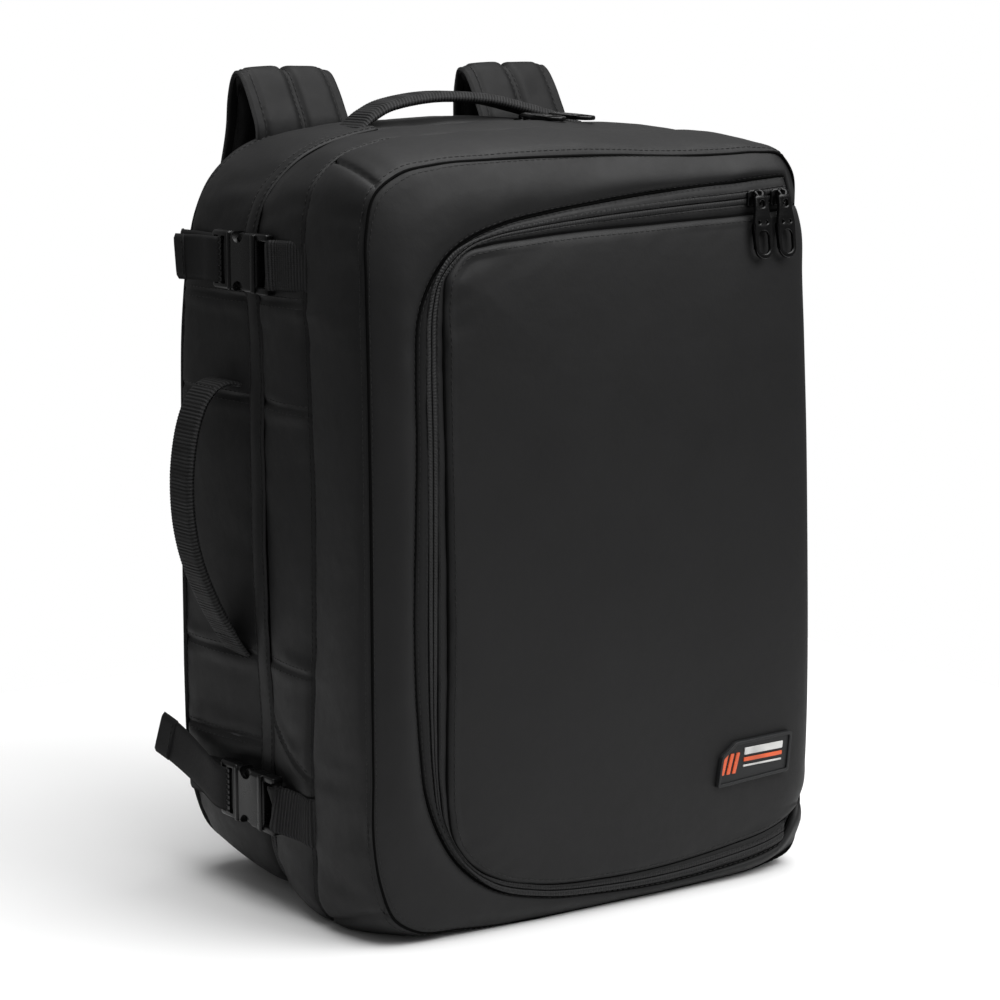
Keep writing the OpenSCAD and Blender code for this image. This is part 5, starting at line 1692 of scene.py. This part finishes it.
# ladder locks, lower webs and wing tabs
for side in ("left", "right"):
    s = -1 if side == "left" else 1
    lo_, hi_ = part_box("ladder_lock_" + side)
    lo_, hi_ = np.array(lo_) / MM, np.array(hi_) / MM
    cx_, cy_, cz_ = (lo_ + hi_) / 2
    w_, d_, h_ = hi_ - lo_
    slots = [rrect2(-w_ / 2 + 3.6, w_ / 2 - 3.6, a0, a1, 1.2, 4) for a0, a1 in ((h_ / 2 - 6.6, h_ / 2 - 3.0), (-3.0, 2.2), (-h_ / 2 + 3.0, -h_ / 2 + 7.0))]
    lk = plate("ladder_lock_frame_" + side, [rrect2(-w_ / 2, w_ / 2, -h_ / 2, h_ / 2, 3.2)] + slots, min(d_, 5.2), 1.1, (cx_, cy_, cz_), (-1, 0, 0), (0, 0, 1), ACETAL, "rear_half")
    tee = [rod("ll_tooth", (cx_ - 9 + 3 * k_, cy_ + 2.4, cz_ + 3.2), (cx_ - 9 + 3 * k_, cy_ + 2.4, cz_ + 5.4), 0.6, ACETAL, None, n=8, dome=0.3) for k_ in range(7)]
    lk = join([lk] + tee)
    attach(lk, "rear_half")
    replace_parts(lk, "ladder_lock_" + side)
    hang = spline([(s * 102, 118.5, cz_ + 16), (s * 102, 117.0, cz_ + 9), (s * 102.4, 115.5, cz_ + 7)], 20)
    ribbon("strap_lock_loop_" + side, hang, (1, 0, 0), 24.5, 1.8, WEB, "rear_half", ribs=1.6, rib_h=0.2, nw=12)
    lower = spline([(s * 125, 100.8, 42), (s * 121, 102.3, 53), (s * 114, 106.0, 80), (s * 106, 111.0, 106), (s * 103.4, 113.4, cz_ - 7), (s * 103, 116.5, cz_ - 4), (s * 103, 118.6, cz_ + 1.5)], 90)
    lw_ = ribbon("lower_web_strap_" + side, lower, (1, 0, 0.35 * s), 24.5, 1.7, WEB, "rear_half", ribs=1.6, rib_h=0.22, nw=14)
    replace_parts(lw_, "lower_web_" + side)
    tail = spline([(s * 103, 114.0, cz_ + 3), (s * 103, 118.8, cz_ + 3.5), (s * 103, 119.6, cz_ - 4), (s * 103.2, 119.4, cz_ - 30), (s * 103.6, 117.4, cz_ - 58), (s * 104, 115.4, 40)], 90)
    ribbon("lower_web_tail_" + side, tail, (1, 0, 0), 24.5, 1.6, WEB_S, "rear_half", nw=12)
    ribbon("lower_web_hem_" + side, tail[-9:], (1, 0, 0), 24.9, 3.2, WEB_S, "rear_half", nw=10)
    rows_ = []
    for t in np.linspace(0, 1, 12):
        x_ = 132.0 - 23 * t
        zc_, hh = 50 - 4 * t, 20 - 6.5 * t
        rows_.append(np.array([(s * x_, 99.0 + 1.4 * math.sin(math.pi * min(t * 1.1, 1)), z__) for z__ in np.linspace(zc_ - hh, zc_ + hh, 16)]))
    wt_, _, _ = cloth_strip("wing_tab_cloth_" + side, rows_, FAB, "rear_half", 2.0, face=(0, 1, 0))
    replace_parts(wt_, "wing_tab_" + side)
print("straps and back done")

# ------------------------------------------------------------------ inside: linings, sleeve, dividing walls
def inner_ring(name, ys_, inset, body, mat=LINING):
    rows_ = []
    for y in ys_:
        r = ring_at(y, inset)
        r = r[::3]
        r[:, 1] = np.clip(r[:, 1], 3.6, None)
        p = np.stack([r[:, 0], np.full(len(r), y), r[:, 1]], 1)
        rows_.append(p)
    P = np.stack(rows_, 1)
    N = grid_normals(P)
    if (N[..., 0] * P[..., 0]).sum() < 0:
        N = -N
    d = 0.6 * (W_MID(P + 50) - 1) + 0.3 * W_FOLD(P)
    P = P + N * d[..., None]
    P[..., 2] = np.maximum(P[..., 2], 3.2)
    o, _, _ = cloth_strip(name, [P[:, j] for j in range(P.shape[1])], mat, None, 0.6, closed=True)
    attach(o, body)
    return o


inner_ring("front_half_lining", np.linspace(-88, 6.6, 26), 5.2, "front_half")
inner_ring("rear_half_lining", np.linspace(17.2, 81, 20), 5.2, "rear_half")


def wall(name, y, inset, body, face, mat=LINING, amp=0.8):
    r = ring_at(y, inset)[::4]
    r[:, 1] = np.clip(r[:, 1], 3.6, None)
    c_ = np.array([0.0, 208.0])
    fs = 1 - np.linspace(0, 0.97, 40)
    G = np.stack([c_ + (r - c_) * f for f in fs], 1)
    n_, m_ = G.shape[:2]
    q3 = np.stack([G[..., 0], np.full((n_, m_), float(y)), G[..., 1]], -1)
    q3[..., 1] += face * amp * (W_MID(q3 + 70)) * np.clip((1 - fs)[None, :] * 8, 0, 1)
    q4 = q3.copy(); q4[..., 1] = y - face * 1.2
    F = grid_faces(n_, m_, True) + grid_faces(n_, m_, True, base=n_ * m_, flip=True)
    F += [(i * m_, ((i + 1) % n_) * m_, n_ * m_ + ((i + 1) % n_) * m_, n_ * m_ + i * m_) for i in range(n_)]
    F += [tuple(i * m_ + m_ - 1 for i in range(n_)), tuple(n_ * m_ + i * m_ + m_ - 1 for i in range(n_))[::-1]]
    uv = np.concatenate([G.reshape(-1, 2)] * 2)
    o = finish_mesh(name, np.concatenate([q3.reshape(-1, 3), q4.reshape(-1, 3)]), F, mat, None, uv=uv)
    outward(o)
    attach(o, body)
    return o


wall("front_inner_wall", -88.8, 5.4, "front_half", 1)
wall("rear_inner_wall", 82.2, 5.4, "rear_half", -1)
# laptop sleeve
rows_ = []
for t in np.linspace(0, 1, 40):
    z_ = 22 + 270 * t
    row_ = []
    for x_ in np.linspace(-118, 118, 64):
        u_ = (x_ + 118) / 236
        y_ = 64.5 + 14 * (1 - min(1, (math.sin(math.pi * u_)) ** 0.25)) * 0.9 + 4.5 * (1 - min(1, (t * 8) ** 0.5)) + 0.5 * math.sin(x_ / 31) * math.sin(z_ / 40)
        row_.append((x_, y_, z_))
    rows_.append(np.array(row_))
sv, _, _ = cloth_strip("laptop_sleeve_pad", rows_, LINING, "rear_half", 3.2, face=(0, -1, 0))
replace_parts(sv, "laptop_sleeve")
top_r = rows_[-1]
ribbon("laptop_sleeve_binding", top_r + np.array([0, 1.6, 0]), (0, 0, 1), 12, 5.6, WEB_S, "rear_half", nw=8, step=2.5)
ribbon("laptop_sleeve_tie", spline([(0, 66.0, 262), (0, 62.2, 272), (0, 61.6, 292), (0, 63.2, 306), (0, 74, 314), (0, 80.8, 322)], 50), (1, 0, 0), 38, 1.6, WEB, "rear_half", nw=12, ribs=1.6, rib_h=0.2)
frame["nodes"]["back_stiffener"].data.materials.clear()
frame["nodes"]["back_stiffener"].data.materials.append(BOARD)

# ------------------------------------------------------------------ moulded patch on the flap: plain bars and no lettering
def patch():
    pts = np.array([(69.0, 59.5), (120.8, 61.8), (122.6, 84.6), (81.6, 84.0), (71.2, 76.4)])
    c_ = pts.mean(0)
    y0_ = flap_at(*c_)
    gx = (flap_at(c_[0] + 18, c_[1]) - flap_at(c_[0] - 18, c_[1])) / 36
    gz = (flap_at(c_[0], c_[1] + 8) - flap_at(c_[0], c_[1] - 8)) / 16
    ex = unit(np.array([1, gx, 0.0])); ey = unit(np.array([0, gz, 1.0])); ey = unit(ey - ex * (ex @ ey))
    ez = np.cross(ex, ey)
    org = np.array([c_[0], y0_, c_[1]])
    rel = pts - c_

    def round_poly(pp, r):
        out_ = []
        n_ = len(pp)
        for i in range(n_):
            a_, b_, d_ = pp[i - 1], pp[i], pp[(i + 1) % n_]
            u1, u2 = (a_ - b_) / np.linalg.norm(a_ - b_), (d_ - b_) / np.linalg.norm(d_ - b_)
            q0, q1 = b_ + u1 * r, b_ + u2 * r
            for t in np.linspace(0, 1, 6):
                out_.append(tuple((1 - t) ** 2 * q0 + 2 * t * (1 - t) * b_ + t * t * q1))
        return out_

    def inset_poly(pp, d):
        n_ = len(pp); out_ = []
        for i in range(n_):
            a_, b_, d_ = pp[i - 1], pp[i], pp[(i + 1) % n_]
            e1, e2 = unit(b_ - a_), unit(d_ - b_)
            n1, n2 = np.array([-e1[1], e1[0]]), np.array([-e2[1], e2[0]])
            m_ = unit(n1 + n2)
            out_.append(b_ + m_ * d / max(m_ @ n1, 0.4))
        return np.array(out_)

    outer = round_poly(rel, 1.6)
    in1 = round_poly(inset_poly(rel, 1.7), 1.1)
    base_ = plate("patch_base", [outer], 2.4, 0.6, org + ez * 0.6, ex, ey, RUBBER, None)
    rim_ = plate("patch_rim", [outer, in1], 1.4, 0.45, org + ez * 2.1, ex, ey, RUBBER, None)
    bars = [base_, rim_]
    def bar(x0, x1, z0, z1, sk, m_, h=2.0, th=0.9, r=0.5):
        lp = [(x0 + sk * z0, z0), (x1 + sk * z0, z0), (x1 + sk * z1, z1), (x0 + sk * z1, z1)]
        return plate("patch_bar", [round_poly(np.array(lp), r)], th, 0.25, org + ez * h, ex, ey, m_, None)
    for k_ in range(3):
        bars.append(bar(-20.5 + k_ * 4.2, -18.0 + k_ * 4.2, -7.0, 4.5, 0.25, ORANGE))
    bars.append(bar(-5.5, 22.5, 2.6, 6.6, 0.08, WHITE))
    bars.append(bar(-5.5, 22.5, -1.2, 1.0, 0.08, ORANGE))
    bars.append(bar(-5.5, 22.5, -4.2, -3.2, 0.08, WHITE, r=0.3))
    o = join(bars, "rubber_patch_moulding")
    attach(o, "flap"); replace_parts(o, "rubber_patch")
    return o


patch()
print("inside done")

# ------------------------------------------------------------------ floor
bpy.ops.mesh.primitive_plane_add(size=1.1, location=(0, 0, 0))
floor = bpy.context.object
floor.name = "floor"
FM = Mat("floor_paint")
nz = FM.noise(FM.coords("Object"), 3, 3, 0.5)
FM.l(FM.mixcol(FM.rng(nz, 0.3, 0.7, 0, 1), (0.71, 0.71, 0.71), (0.73, 0.73, 0.73)), FM.b.inputs["Base Color"])
FM.b.inputs["Roughness"].default_value = 0.8
floor.data.materials.append(FM.m)

# nothing of the bag's own cloth dips under the surface it stands on
for o in list(scene.objects):
    if o.type == "MESH" and o.name in MADE and o.name != "floor":
        V_ = verts_of(o)
        if len(V_) and V_[:, 2].min() < 0.02:
            V_[:, 2] = np.maximum(V_[:, 2], 0.02)
            set_verts(o, V_)
